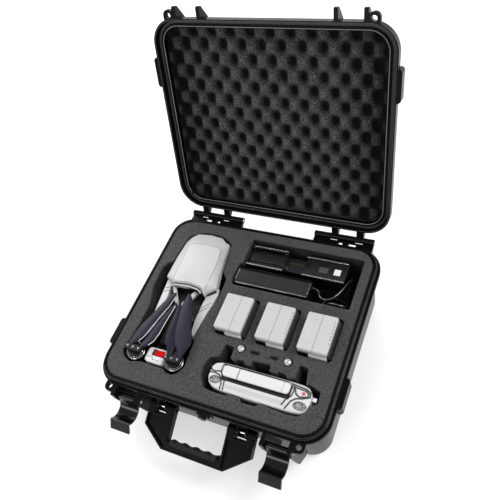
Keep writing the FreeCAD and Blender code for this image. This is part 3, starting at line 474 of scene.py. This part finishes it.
def make_lid_foam():
    """Convoluted foam: a fine grid inside the CAD block's rounded outline, closed by its sides and back."""
    half_x, half_y, corner = LID_FOAM_HALF
    nx, ny = int(2 * half_x / LID_FOAM_GRID), int(2 * half_y / LID_FOAM_GRID)
    front, back, dark = [], [], []
    for j in range(ny + 1):
        for i in range(nx + 1):
            x, y = (-1 + 2 * i / nx) * half_x, (-1 + 2 * j / ny) * half_y
            cx, cy = max(abs(x) - (half_x - corner), 0.0), max(abs(y) - (half_y - corner), 0.0)
            far = math.hypot(cx, cy)
            if far > corner:
                x = math.copysign(half_x - corner + cx * corner / far, x)
                y = math.copysign(half_y - corner + cy * corner / far, y)
            rough = noise.noise(Vector((x, y, 0.0)) * 0.12) + 0.6 * noise.noise(Vector((x, y, 5.0)) * 0.45)
            in_corner = corner - far if min(cx, cy) > 0 else corner
            inset = min(half_x - abs(x), half_y - abs(y), in_corner)
            rim = max(0.0, 1.0 - inset / 11.0)
            z = egg_height(x, y)
            z += (EGG_PEAK + 1.5 - z) * rim ** 1.5 * 0.8
            front.append((x * MM, y * MM, (z + 0.4 * rough) * MM))
            # painted shade: dark in the bottoms of the hollows, near the outline and towards the left and
            # right sides
            hollow_shade = max(0.0, (egg_height(x, y) - EGG_PEAK) / (EGG_VALLEY - EGG_PEAK) - 0.24) / 0.60
            edges = 0.4 * max(0.0, 1.0 - inset / 24.0) + 0.5 * max(0.0, 1.0 - (half_x - abs(x)) / 70.0)
            dark.append(min(1.0, hollow_shade ** 1.3 + edges))
            back.append((x * 0.986 * MM, y * 0.984 * MM, LID_FOAM_BACK * MM))
    verts = [LID_TURN @ Vector(p) for p in front + back]
    size = (nx + 1) * (ny + 1)
    faces = []
    for j in range(ny):
        for i in range(nx):
            a = j * (nx + 1) + i
            quad = (a, a + nx + 1, a + nx + 2, a + 1)
            faces.append(quad)
            faces.append(tuple(size + k for k in reversed(quad)))
    rim = [i for i in range(nx + 1)] + [j * (nx + 1) + nx for j in range(1, ny + 1)]
    rim += [ny * (nx + 1) + i for i in range(nx - 1, -1, -1)] + [j * (nx + 1) for j in range(ny - 1, 0, -1)]
    for a, b in zip(rim, rim[1:] + rim[:1]):
        faces.append((a, b, size + b, size + a))
    foam = piece("lid_egg_foam", verts, faces, "lid", "foam_black", ["lid_foam"])
    keep_shade(foam, dark + [1.0] * len(back))
    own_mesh(foam)


make_base_foam()
make_lid_foam()

# ------------------------------------------------------------------ drone
SHELL_FOOT = [
    (-133.5, 28), (-133, 64), (-130, 94), (-126, 104), (-117, 113), (-96, 115.5), (-75, 113.5), (-65, 106),
    (-59, 104.5), (-56.2, 76), (-50.6, 42), (-47.2, 27), (-58, 18), (-61.4, 11), (-68, 18), (-89, 21),
    (-116, 18), (-122, 22)]
SHELL_CREST = [
    (-116.4, 30), (-116.6, 62), (-117.6, 86), (-116.6, 88.6), (-112, 89.6), (-94, 91.4), (-82, 91.6),
    (-69, 89.6), (-65, 88.4), (-61.6, 74), (-60.2, 44), (-60.0, 30), (-61.0, 22), (-63.4, 17.6),
    (-69, 20.6), (-89, 23.6), (-112, 20.8), (-115.4, 23.6)]
MOTORS = [(-122.8, -94.4), (-59.4, -95.0)]
MOTOR_RINGS = [(12.9, 0.62, 100.4), (10.8, 0.42, 101.2), (12.4, 0.5, 97.6)]      # radius, thickness, height
GUARD = (-105.2, -74.2, -104.8, -82.4)      # x from, x to, y from, y to
VENT_COUNT, VENT_Y0, VENT_PITCH, VENT_Z = 9, -27.0, 3.1, 85.0
BLADES = {
    "blade_left_upper": ((-131.8, -94.1), 108.0, [
        (-134.4, -88.5), (-133.5, -75.0), (-130.1, -59.3), (-123.6, -42.6), (-116.3, -23.7), (-110.4, -8.4),
        (-105.0, 2.0), (-101.0, 3.0), (-98.0, -3.0), (-100.3, -21.4), (-105.5, -37.9), (-110.5, -57.5),
        (-114.0, -73.0), (-119.0, -82.5), (-127.5, -89.0)]),
    "blade_left_lower": ((-113.8, -94.7), 106.7, [
        (-117.0, -88.0), (-115.2, -80.0), (-113.0, -66.0), (-109.5, -52.0), (-104.5, -36.0), (-99.0, -21.0),
        (-94.5, -12.0), (-91.9, -13.5), (-93.4, -29.2), (-94.8, -46.3), (-95.5, -64.4), (-98.3, -78.0),
        (-104.1, -86.0), (-110.5, -90.5)]),
    "blade_right_upper": ((-50.4, -94.7), 108.0, [
        (-54.0, -88.5), (-60.0, -80.5), (-67.3, -74.0), (-75.2, -57.9), (-79.4, -39.5), (-82.3, -23.6),
        (-83.4, -8.5), (-82.6, 6.0), (-79.5, 7.0), (-70.3, -3.7), (-62.6, -22.0), (-55.3, -39.8),
        (-46.4, -56.5), (-42.4, -67.0), (-44.5, -77.0), (-47.5, -88.5)]),
    "blade_right_lower": ((-68.4, -95.3), 106.7, [
        (-71.5, -89.0), (-75.9, -80.0), (-82.5, -74.5), (-85.9, -60.3), (-87.4, -41.0), (-88.9, -21.3),
        (-88.1, -12.6), (-85.0, -13.5), (-80.0, -26.0), (-75.0, -42.0), (-70.0, -58.0), (-66.0, -72.0),
        (-64.6, -83.0), (-65.5, -89.0)]),
}


def joined(parts):
    """One (verts, faces) pair from several."""
    verts, faces = [], []
    for v, f in parts:
        start = len(verts)
        verts += v
        faces += [tuple(k + start for k in face) for face in f]
    return verts, faces


def torus(centre, radius, thick, z, count=56, sides=8):
    verts, faces = [], []
    for i in range(count):
        a = 2 * math.pi * i / count
        for j in range(sides):
            b = 2 * math.pi * j / sides
            r = radius + thick * math.cos(b)
            verts.append(((centre[0] + r * math.cos(a)) * MM, (centre[1] + r * math.sin(a)) * MM,
                          (z + thick * math.sin(b)) * MM))
            k, l = (i + 1) % count, (j + 1) % sides
            faces.append((i * sides + j, k * sides + j, k * sides + l, i * sides + l))
    return verts, faces


def make_drone_shell():
    foot, crest = softened(SHELL_FOOT, 0.1), softened(SHELL_CREST, 0.1)
    rings = [ring_at(foot, 92.2, 0.975), ring_at(foot, 92.8, 0.99), ring_at(foot, 93.6, 0.996),
             ring_at(foot, 95.2, 0.996), ring_at(foot, 95.5, 0.985), ring_at(foot, 95.6, 0.972),
             ring_at(foot, 96.5, 0.972), ring_at(foot, 96.6, 0.99), ring_at(foot, 97.0, 1.0),
             ring_at(foot, 101.4, 1.0), ring_at(foot, 102.6, 0.994)]
    for t in (0.06, 0.25, 0.5, 0.75, 0.94, 0.985):
        z = 102.6 + 7.8 * (t + 0.06 * math.sin(math.pi * t))
        rings.append([(a[0] + (b[0] - a[0]) * t, a[1] + (b[1] - a[1]) * t, z) for a, b in zip(foot, crest)])
    for k in (1.0, 0.985, 0.93, 0.8, 0.6, 0.4, 0.2):
        rings.append(ring_at(crest, 110.45 + 0.9 * (1 - k * k), k))
    shell = piece("drone_top_shell", *rings_mesh(rings), "drone", "drone_white", ["drone_shell"])
    seams = {
        "drone_seam_rear": [(-119.0, 87.8, 0), (-105.6, 91.0, 0), (-85.1, 92.0, 0), (-64.8, 89.4, 0),
                            (-54.0, 80.0, 0)],
        "drone_seam_left": [(-118.4, 86.0, 0), (-117.2, 62.0, 0), (-117.0, 40.0, 0), (-116.2, 24.0, 0)],
        "drone_seam_right": [(-64.4, 88.0, 0), (-61.0, 72.0, 0), (-59.6, 44.0, 0), (-60.6, 20.0, 0)],
    }
    for name, line in seams.items():
        ribbon(name, line, 0.42, 0.03, "drone", "button_grey", on=shell)
    front = [(-117.5, 17.6), (-112.0, 19.4), (-89.0, 21.6), (-72.0, 19.2), (-66.4, 15.6)]
    lip = [(x, y - 4.2) for x, y in front] + [(x, y + 1.5) for x, y in reversed(front)]
    lip = softened(lip, 0.12)
    piece("drone_front_lip", *rings_mesh([ring_at(lip, 103.4, 0.99), ring_at(lip, 104.0), ring_at(lip, 106.4),
                                          ring_at(lip, 106.9, 0.992)]), "drone", "drone_white")
    # painted shade: a dark strip under the front lip stands for the shadow in the gap there
    ribbon("drone_front_gap_shadow", [(x, y - 0.9, 106.9) for x, y in front], 2.0, 0.12, "drone", "motor_dark")
    # painted shade: a dark strip stands for the shadow in the gap at the front right corner
    corner = [(-64.6, 12.6, 97.0), (-61.4, 14.0, 97.0), (-57.6, 15.8, 97.0), (-47.6, 24.4, 97.0)]
    ribbon("drone_corner_gap_shadow", corner, 3.4, 0.12, "drone", "motor_dark")
    for k in range(VENT_COUNT):
        y = VENT_Y0 + VENT_PITCH * k
        slot_line = [(-72.6 + 0.05 * y, y, VENT_Z), (-67.4 + 0.02 * y, y + 4.4, VENT_Z)]
        ribbon("deck_vent_%d" % (k + 1), slot_line, 1.1, 0.5, "drone", "contact_gold")


def make_blade(name, root, z, outline):
    """Cambered and slightly twisted blade with the boss that its screw passes through."""
    x, y = root
    twist = -3.0 if name == "blade_right_lower" else 1.2
    full = outline + [(x + 3.2, y), (x - 3.2, y)]
    turned = [(q, p) for p, q in full]
    y0, y1 = min(p[1] for p in full) + 0.05, max(p[1] for p in full) - 0.05
    rows, columns = 44, 12
    top, bottom, right_edge = [], [], []
    for j in range(rows + 1):
        t = j / rows
        at = y0 + (y1 - y0) * t
        x0, x1 = outline_span(turned, at)
        wide = min(1.0, (x1 - x0) / 16.0)
        for i in range(columns + 1):
            u = i / columns
            lift = 0.7 * math.sin(math.pi * u) * wide + twist * (u - 0.5) * wide * (1.0 - 0.6 * t)
            half = 0.22 + 0.45 * math.sin(math.pi * u) ** 0.5
            middle = z + 0.5 + lift
            top.append((x0 + (x1 - x0) * u, at, middle + half))
            bottom.append((x0 + (x1 - x0) * u, at, middle - half))
        right_edge.append((x1 - 0.45, at, z + 1.1 + twist * 0.5 * wide * (1.0 - 0.6 * t)))
    verts = [tuple(c * MM for c in p) for p in top + bottom]
    count, faces = len(top), []
    for j in range(rows):
        for i in range(columns):
            a = j * (columns + 1) + i
            quad = (a, a + 1, a + columns + 2, a + columns + 1)
            faces += [quad, tuple(count + k for k in reversed(quad))]
    rim = list(range(columns + 1)) + [j * (columns + 1) + columns for j in range(1, rows + 1)]
    rim += [rows * (columns + 1) + i for i in range(columns - 1, -1, -1)]
    rim += [j * (columns + 1) for j in range(rows - 1, 0, -1)]
    faces += [(b, a, count + a, count + b) for a, b in zip(rim, rim[1:] + rim[:1])]
    boss = rings_mesh(revolved([(3.3, 106.8), (3.7, 107.2), (3.7, 108.9), (3.3, 109.3)], root, 28))
    side = "left" if "left" in name else "right"
    piece(name, *joined([(verts, faces), boss]), "drone", "blade_violet", ["blades_" + side])
    # painted highlight: a white strip along the right edge of each left blade; painted shade: a dark strip
    # along the right edge of each right blade
    if side == "left":
        ribbon(name + "_painted_edge", right_edge[5:-3], 0.8, 0.1, "drone", "label_white")
    else:
        ribbon(name + "_painted_edge", right_edge[6:-3], 0.5, 0.05, "drone", "motor_dark")


def rounded_outline(x0, x1, y0, y1, corner, steps=6):
    points = []
    for cx, cy, start in ((x1 - corner, y1 - corner, 0), (x0 + corner, y1 - corner, 90),
                          (x0 + corner, y0 + corner, 180), (x1 - corner, y0 + corner, 270)):
        for k in range(steps + 1):
            a = math.radians(start + 90 * k / steps)
            points.append((cx + corner * math.cos(a), cy + corner * math.sin(a)))
    return points


def shoulder(edge, radius):
    """Drop of a rounded edge at a distance in from the outline."""
    inside = max(0.0, radius - edge)
    return radius - math.sqrt(max(0.0, radius * radius - inside * inside))


def make_guard():
    x0, x1, y0, y1 = GUARD

    def height(x, y, edge):
        z = 101.2 - shoulder(edge, 3.6) * 0.9
        # painted shade: the window recess, the rim around it and the groove are darkened
        far = max(abs(x + 87.0) - 9.6, abs(y + 89.8) - 4.5)
        if far < 0:
            return 98.9, 1.0
        if far < 0.7:
            return z - 0.5, 0.3
        line = [(x0 + 3, y0 + 7.5), (-93.5, y0 + 7.5), (-92.0, y0 + 4.0), (-81.0, y0 + 4.0)]
        step = groove(x, y, [line], 0.8)
        return z - 1.0 * step, step

    relief("gimbal_guard_cover", rounded_outline(x0, x1, y0, y1, 5.5), 62.0, height, 62, 46, "drone",
           "control_white", ["gimbal_guard"])
    lens = rounded_outline(-96.6, -92.6, -93.9, -85.7, 1.8)
    piece("gimbal_lens_painted_edge", *rings_mesh([ring_at(lens, 99.4), ring_at(lens, 100.5)]), "drone", "motor_dark")


def make_drone():
    make_drone_shell()
    bpy.context.view_layer.update()
    for name, (root, z, outline) in BLADES.items():
        make_blade(name, root, z, outline)
    rings = []
    for centre in MOTORS:
        for radius, thick, z in MOTOR_RINGS:
            rings.append(torus(centre, radius, thick, z))
    piece("motor_chrome_rings", *joined(rings), "drone", "ring_steel", ["motor_rings"])
    make_guard()
    grooves = {
        "arm_right_groove_1": [(-60.6, -14.7, 97.0), (-47.6, -1.0, 97.0)],
        "arm_right_groove_2": [(-59.6, -7.5, 97.0), (-47.2, 6.0, 97.0)],
        "arm_left_groove_1": [(-130.2, 12.0, 96.0), (-122.6, 16.0, 96.0)],
        "arm_left_groove_2": [(-129.6, 6.0, 96.0), (-121.8, 10.0, 96.0)],
    }
    for name, line in grooves.items():
        ribbon(name, line, 0.9, 0.04, "drone", "motor_dark")


# ------------------------------------------------------------------ controller
CONTROL_OUTLINE = [
    (-4.2, -86), (-0.5, -79.5), (6, -77), (18, -75.5), (122, -76), (132, -78.5), (137.5, -86), (138.5, -96),
    (135.5, -108), (129, -113), (112, -114.5), (60, -114.5), (20, -114), (6.5, -112), (-0.8, -107),
    (-4.6, -97)]
CONTROL_SEAMS = [
    [(12.4, -77.4), (11.1, -82.0), (11.1, -88.8), (15.0, -93.7), (20.2, -98.6), (21.3, -104.8),
     (22.6, -112.0)],
    [(-3.6, -88.6), (-1.5, -90.7), (2.7, -91.2), (11.1, -89.2)],
    [(-3.0, -93.9), (4.3, -93.1), (10.3, -94.6), (15.4, -99.0), (17.9, -106.0), (18.4, -112.0)],
    [(107.4, -79.3), (119.3, -80.3), (128.4, -81.2), (134.8, -84.4), (135.6, -90.4), (127.5, -94.2),
     (119.0, -96.6), (113.8, -101.4), (109.4, -112.0)],
    [(113.4, -82.4), (117.2, -90.6), (122.3, -93.4), (132.5, -91.0), (132.9, -86.2), (128.6, -83.6),
     (113.4, -82.4)],
    [(111.6, -81.0), (113.4, -88.0), (112.0, -95.2), (107.4, -100.4), (104.0, -108.6)],
    [(11.7, -77.8), (62.1, -77.3), (104.9, -78.4)],
    [(12.7, -79.4), (62.1, -78.9), (104.0, -80.0)],
]
CONTROL_WELLS = [(7.4, -102.2, 7.8, 5.6), (126.6, -104.4, 8.8, 5.6)]


def control_height(x, y, edge):
    """Top of the controller: body lines, stick wells, a patterned strip and the recess under the cover."""
    z = 101.6 - shoulder(edge, 4.0) * 0.9
    line = groove(x, y, CONTROL_SEAMS, 1.35)
    z -= 1.3 * line
    # painted shade in the body lines
    shade = min(1.0, 2.4 * line)
    for cx, cy, rx, ry in CONTROL_WELLS:
        far = math.hypot((x - cx) / rx, (y - cy) / ry)
        if far < 1.0:
            turn = math.atan2(y - cy, x - cx)
            fan = math.cos(7 * turn + 2.5 * far)
            z -= 6.0 * (1 - far ** 3) - 0.6 * fan * far
            # painted shade in the wells, darkest at their rims, with a fan of dark lines on their floors
            shade = 0.95 if far > 0.86 else max(0.10, 0.34 - 0.5 * fan * far)
    if 23.5 < x < 106.5 and -109.4 < y < -104.4:
        ridge = math.cos(2 * math.pi * x / 3.4) * math.cos(2 * math.pi * y / 3.0)
        z += 0.35 * ridge - 0.4
        shade = max(shade, 0.16 - 0.16 * ridge)
    # painted shade: the recess under the cover is made fully dark
    if 14.0 < x < 110.4 and -100.2 < y < -81.0:
        z = 97.4
        shade = 1.0
    return z, shade


def cover_height(x, y, edge):
    line = groove(x, y, [[(37.2, -100.0), (37.2, -80.0)], [(99.7, -100.0), (99.7, -80.0)]], 0.8)
    # painted shade in the cover's two cross grooves, stronger in the left one
    return 105.6 - shoulder(edge, 1.8) - 0.5 * line, min(1.0, (1.6 if x < 60 else 0.6) * line)


def make_controller():
    relief("controller_shell", softened(CONTROL_OUTLINE, 0.3), 33.0, control_height, 230, 76, "controller",
           "control_silver", ["controller_body"])
    cover = rounded_outline(14.8, 108.8, -95.2, -80.2, 4.6)
    relief("controller_cover_plate", cover, 102.6, cover_height, 130, 24, "controller", "control_white",
           ["controller_cover"])
    # painted shade: a dark block under the cover stands for the shadow beneath it
    shadow_block = rounded_outline(18.0, 105.0, -92.0, -82.4, 3.0)
    piece("controller_cover_shadow_block", *rings_mesh([ring_at(shadow_block, 97.0), ring_at(shadow_block, 102.8)]), "controller",
          "button_grey")
    tag = rounded_outline(138.0, 144.0, -93.0, -88.0, 0.8)
    tag_rings = [ring_at(tag, 91.0), ring_at(tag, 98.0), ring_at(tag, 98.4, 0.93)]
    piece("controller_side_tag", *rings_mesh(tag_rings), "controller", "control_white")


# ------------------------------------------------------------------ batteries
BATTERIES = [-0.8, 61.2, 121.0]
BATTERY_Y0, BATTERY_Y1 = -35.6, 19.4


def make_battery(number, cx):
    """Cover of a battery: a shallow moulded plate with a long seam, two faint panel edges and, on two of the
    three, a row of small indicator windows along the right margin."""
    seam = cx + (3.2 if number == 1 else 0.2)
    x0, x1 = cx - 21.0, cx + 20.4
    dots = [(x0 + 39.4, y) for y in (10.8, 5.6, 0.4, -4.8, -10.0, -15.2, -20.4)] if number > 1 else []

    def height(x, y, edge):
        front = y - BATTERY_Y0
        z = 114.0 - shoulder(edge, 1.5) - 1.2 * max(0.0, 1 - front / 3.2) ** 2
        line = groove(x, y, [[(seam, BATTERY_Y0), (seam, BATTERY_Y1)]], 0.7)
        faint = groove(x, y, [[(cx - 16, 9), (cx - 5, 9)], [(cx - 16, -23.5), (cx - 5, -23.5)]], 0.6)
        spot = max([1.0 - math.hypot(x - dx, (y - dy) / 1.5) / 0.9 for dx, dy in dots] + [0.0])
        z -= 0.5 * line + 0.2 * faint + 0.4 * spot
        # painted shade in the seam and the faint panel edges; the indicator windows are dark marks of their
        # own
        return z, min(1.0, max(0.75 * line, 0.25 * faint, 1.6 * spot))

    outline = rounded_outline(x0, x1, BATTERY_Y0, BATTERY_Y1, 2.4)
    relief("battery_%d_cover" % number, outline, 104.2, height, 74, 76, "battery_%d" % number, "battery_grey",
           ["battery_%d_top" % number])


# ------------------------------------------------------------------ charger
ADAPTER_X, ADAPTER_Y = (-29.6, 85.0), (44.6, 77.4)
ADAPTER_FOOT, ADAPTER_TOP = 44.4, 99.2


def adapter_height(x, y, edge):
    ends = min(x - ADAPTER_X[0], ADAPTER_X[1] - x)
    long_edges = min(y - ADAPTER_Y[0], ADAPTER_Y[1] - y)
    return ADAPTER_TOP - shoulder(long_edges, 9.0) - shoulder(ends, 1.6), 0.0


def make_adapter():
    outline = rounded_outline(*ADAPTER_X, *ADAPTER_Y, 1.2)
    relief("adapter_case", outline, ADAPTER_FOOT, adapter_height, 70, 60, "charger", "charger_black",
           ["power_adapter"])


# ------------------------------------------------------------------ small spares
def make_spares():
    for side, (x, y) in (("left", (24.4, -51.4)), ("right", (92.6, -52.5))):
        profile = [(4.4, 86.2), (4.7, 86.8), (4.7, 91.0), (4.3, 91.6), (4.3, 92.4), (4.9, 93.0), (4.9, 96.5),
                   (4.9, 100.0), (4.6, 100.9), (3.9, 101.5), (2.6, 101.8), (2.2, 101.3), (1.0, 101.2)]
        rings = revolved(profile, (x, y), 72,
                         lambda a, z: 0.22 * math.cos(24 * a) if 92.9 < z < 100.1 else 0.0)
        piece("spare_stick_%s_knob" % side, *rings_mesh(rings), "spare_stick_" + side, "stick_silver",
              ["stick_" + side])


make_drone()
make_controller()
for count, centre_x in enumerate(BATTERIES, 1):
    make_battery(count, centre_x)
make_adapter()
make_spares()


# ------------------------------------------------------------------ beads of the rims
def bead(name, half_x, half_y, corner, z, thick, body, slot, turn=None, material=None):
    """Thin round bead that follows a rounded rectangle at height z, in mm."""
    outline = rounded_outline(-half_x, half_x, -half_y, half_y, corner, 14)
    verts, faces, sides = [], [], 8
    count = len(outline)
    for k, (x, y) in enumerate(outline):
        before, after = outline[k - 1], outline[(k + 1) % count]
        along = Vector((after[0] - before[0], after[1] - before[1], 0)).normalized()
        out = Vector((along.y, -along.x, 0))
        for j in range(sides):
            b = 2 * math.pi * j / sides
            p = (Vector((x, y, z)) + out * thick * math.cos(b) + Vector((0, 0, thick * math.sin(b)))) * MM
            verts.append(turn @ p if turn else p)
            m, n = (k + 1) % count, (j + 1) % sides
            faces.append((k * sides + j, m * sides + j, m * sides + n, k * sides + n))
    piece(name, verts, faces, body, slot, material=material)


SEAL_Z, SEAL_INSETS = 102.0, (0.9, 1.9, 2.9)
# each rim bead: half width, half depth and corner radius of its step, and the bead's height
BASE_RIM = [(170.0, 145.8, 36.0, 91.4), (166.4, 143.0, 33.4, 96.6), (165.2, 141.8, 32.2, 99.1),
            (163.8, 140.4, 30.8, 100.9)]
LID_RIM = [(170.0, 145.8, 36.0, 95.1), (168.2, 144.4, 34.8, 94.7)]


def rim_beads(name, steps, thick, body, turn, material):
    for k, (half_x, half_y, corner, z) in enumerate(steps, 1):
        bead("%s_%d" % (name, k), half_x - 0.3, half_y - 0.3, corner - 0.3, z, thick, body, "shell_black",
             turn, material)


def make_beads():
    # painted highlight: the lip bead is mid grey, far lighter than the shell, for the bright line along the
    # lip
    lip_highlight = plastic("lip_painted_highlight", (0.20, 0.20, 0.20), 0.3, 0.6, 0.004, 0.1, 0.0)
    # painted highlight: the rim beads are lighter than the shell, as well as glossy, for the bright lines
    # along the ridges
    ridge = plastic("rim_ridge_highlight", (0.028, 0.028, 0.029), 0.25, 0.6, 0.004, 0.1, 0.0, shine=0.6)
    bead("lid_lip_bead", 158.4, 135.0, 26.2, 100.75, 0.55, "lid", "seal_rubber", LID_TURN, lip_highlight)
    for k, inset in enumerate(SEAL_INSETS, 1):
        bead("lid_seal_bead_%d" % k, 165.9 - inset, 142.5 - inset, 33.0 - inset, SEAL_Z, 0.42, "lid",
             "seal_rubber", LID_TURN)
    rim_beads("base_rim_bead", BASE_RIM, 0.5, "base", None, ridge)
    rim_beads("lid_rim_bead", LID_RIM, 0.45, "lid", LID_TURN, ridge)


make_beads()

# ------------------------------------------------------------------ charger lead
CORD_DIAMETER = 0.0026
CORD_ROUTE = [
    (85.0, 67.0, 90.0), (91.0, 67.0, 90.0), (96.2, 63.4, 91.0), (98.6, 57.4, 92.4), (102.8, 52.4, 93.8),
    (109.6, 50.8, 94.6), (117.0, 53.6, 94.6), (122.8, 60.6, 94.2), (127.2, 70.0, 93.4),
    (130.2, 81.0, 91.2), (131.4, 91.6, 86.6), (132.4, 100.4, 79.2), (134.6, 105.6, 69.0),
    (137.8, 105.2, 58.2), (140.6, 98.4, 50.4), (142.0, 88.0, 47.4), (142.0, 76.0, 47.0),
    (139.2, 64.6, 47.2), (132.6, 55.6, 47.6), (122.4, 50.0, 48.0), (111.0, 48.8, 48.2),
    (101.0, 52.6, 48.8), (95.2, 60.4, 50.0), (95.6, 69.2, 51.6), (102.6, 75.0, 53.8),
    (112.6, 76.0, 57.0), (122.4, 72.8, 61.2), (131.0, 66.6, 67.4), (137.4, 59.4, 75.6),
    (140.6, 52.2, 84.6), (138.8, 47.2, 92.6), (131.8, 45.8, 97.2), (122.8, 46.4, 97.2),
    (115.2, 46.8, 93.4), (110.2, 47.2, 86.4), (107.8, 47.4, 78.4), (107.8, 47.4, 70.6)]


def make_cord():
    data = bpy.data.curves.new("charger_lead", "CURVE")
    data.dimensions = "3D"
    data.bevel_depth = CORD_DIAMETER / 2
    data.bevel_resolution = 4
    data.resolution_u = 8
    data.use_fill_caps = True
    spline = data.splines.new("NURBS")
    spline.points.add(len(CORD_ROUTE) - 1)
    for point, p in zip(spline.points, CORD_ROUTE):
        point.co = (p[0] * MM, p[1] * MM, p[2] * MM, 1.0)
    spline.order_u = 3
    spline.use_endpoint_u = True
    data.materials.append(MATERIALS["cord_black"])
    lead = bpy.data.objects.new("charger_lead", data)
    bpy.context.scene.collection.objects.link(lead)
    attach(lead, "charger")
    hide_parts("charger_cord")


make_cord()


# ------------------------------------------------------------------ floor, light
FLOOR_HALF = 6.0
WORLD_STRENGTH, FLOOR_GLOW = 0.53, 0.44


def make_stage():
    mesh = bpy.data.meshes.new("floor")
    s = FLOOR_HALF
    mesh.from_pydata([(-s, -s, 0), (s, -s, 0), (s, s, 0), (-s, s, 0)], [], [(0, 1, 2, 3)])
    floor = bpy.data.objects.new("floor", mesh)
    bpy.context.scene.collection.objects.link(floor)
    n = Nodes("floor_paint")
    n.link(n.mix(n.noise(400.0), (0.61, 0.61, 0.62), (0.63, 0.63, 0.63)), n.shader.inputs["Base Color"])
    n.shader.inputs["Roughness"].default_value = 0.55
    n.shader.inputs["Specular IOR Level"].default_value = 0.2
    n.shader.inputs["Emission Color"].default_value = (1.0, 1.0, 1.0, 1.0)
    n.shader.inputs["Emission Strength"].default_value = FLOOR_GLOW
    mesh.materials.append(n.material)
    world = bpy.data.worlds.new("studio")
    world.use_nodes = True
    background = world.node_tree.nodes["Background"]
    background.inputs["Color"].default_value = (1.0, 1.0, 1.0, 1.0)
    background.inputs["Strength"].default_value = WORLD_STRENGTH
    bpy.context.scene.world = world
    bpy.context.scene.view_settings.view_transform = "Standard"


def make_light(name, place, aim, size, power, color=(1.0, 1.0, 1.0)):
    data = bpy.data.lights.new(name, "AREA")
    data.shape = "RECTANGLE"
    data.size, data.size_y = size
    data.energy = power
    data.color = color
    light = bpy.data.objects.new(name, data)
    bpy.context.scene.collection.objects.link(light)
    light.location = place
    light.rotation_mode = "QUATERNION"
    light.rotation_quaternion = (Vector(aim) - Vector(place)).to_track_quat("-Z", "Y")


make_stage()
make_light("key", (-2.0, 1.15, 1.65), (0, 0, 0.1), (1.4, 1.1), 29.0, (0.97, 0.97, 1.0))
make_light("strip", (-0.73, -1.72, 1.13), (0.03, 0.06, 0.1), (1.3, 0.5), 17.0)
make_light("side", (1.5, 0.6, 1.9), (0, 0, 0.1), (1.0, 1.2), 34.0)
make_light("back", (-0.86, 2.60, 1.35), (0, 0.2, 0.4), (1.8, 0.8), 42.0)
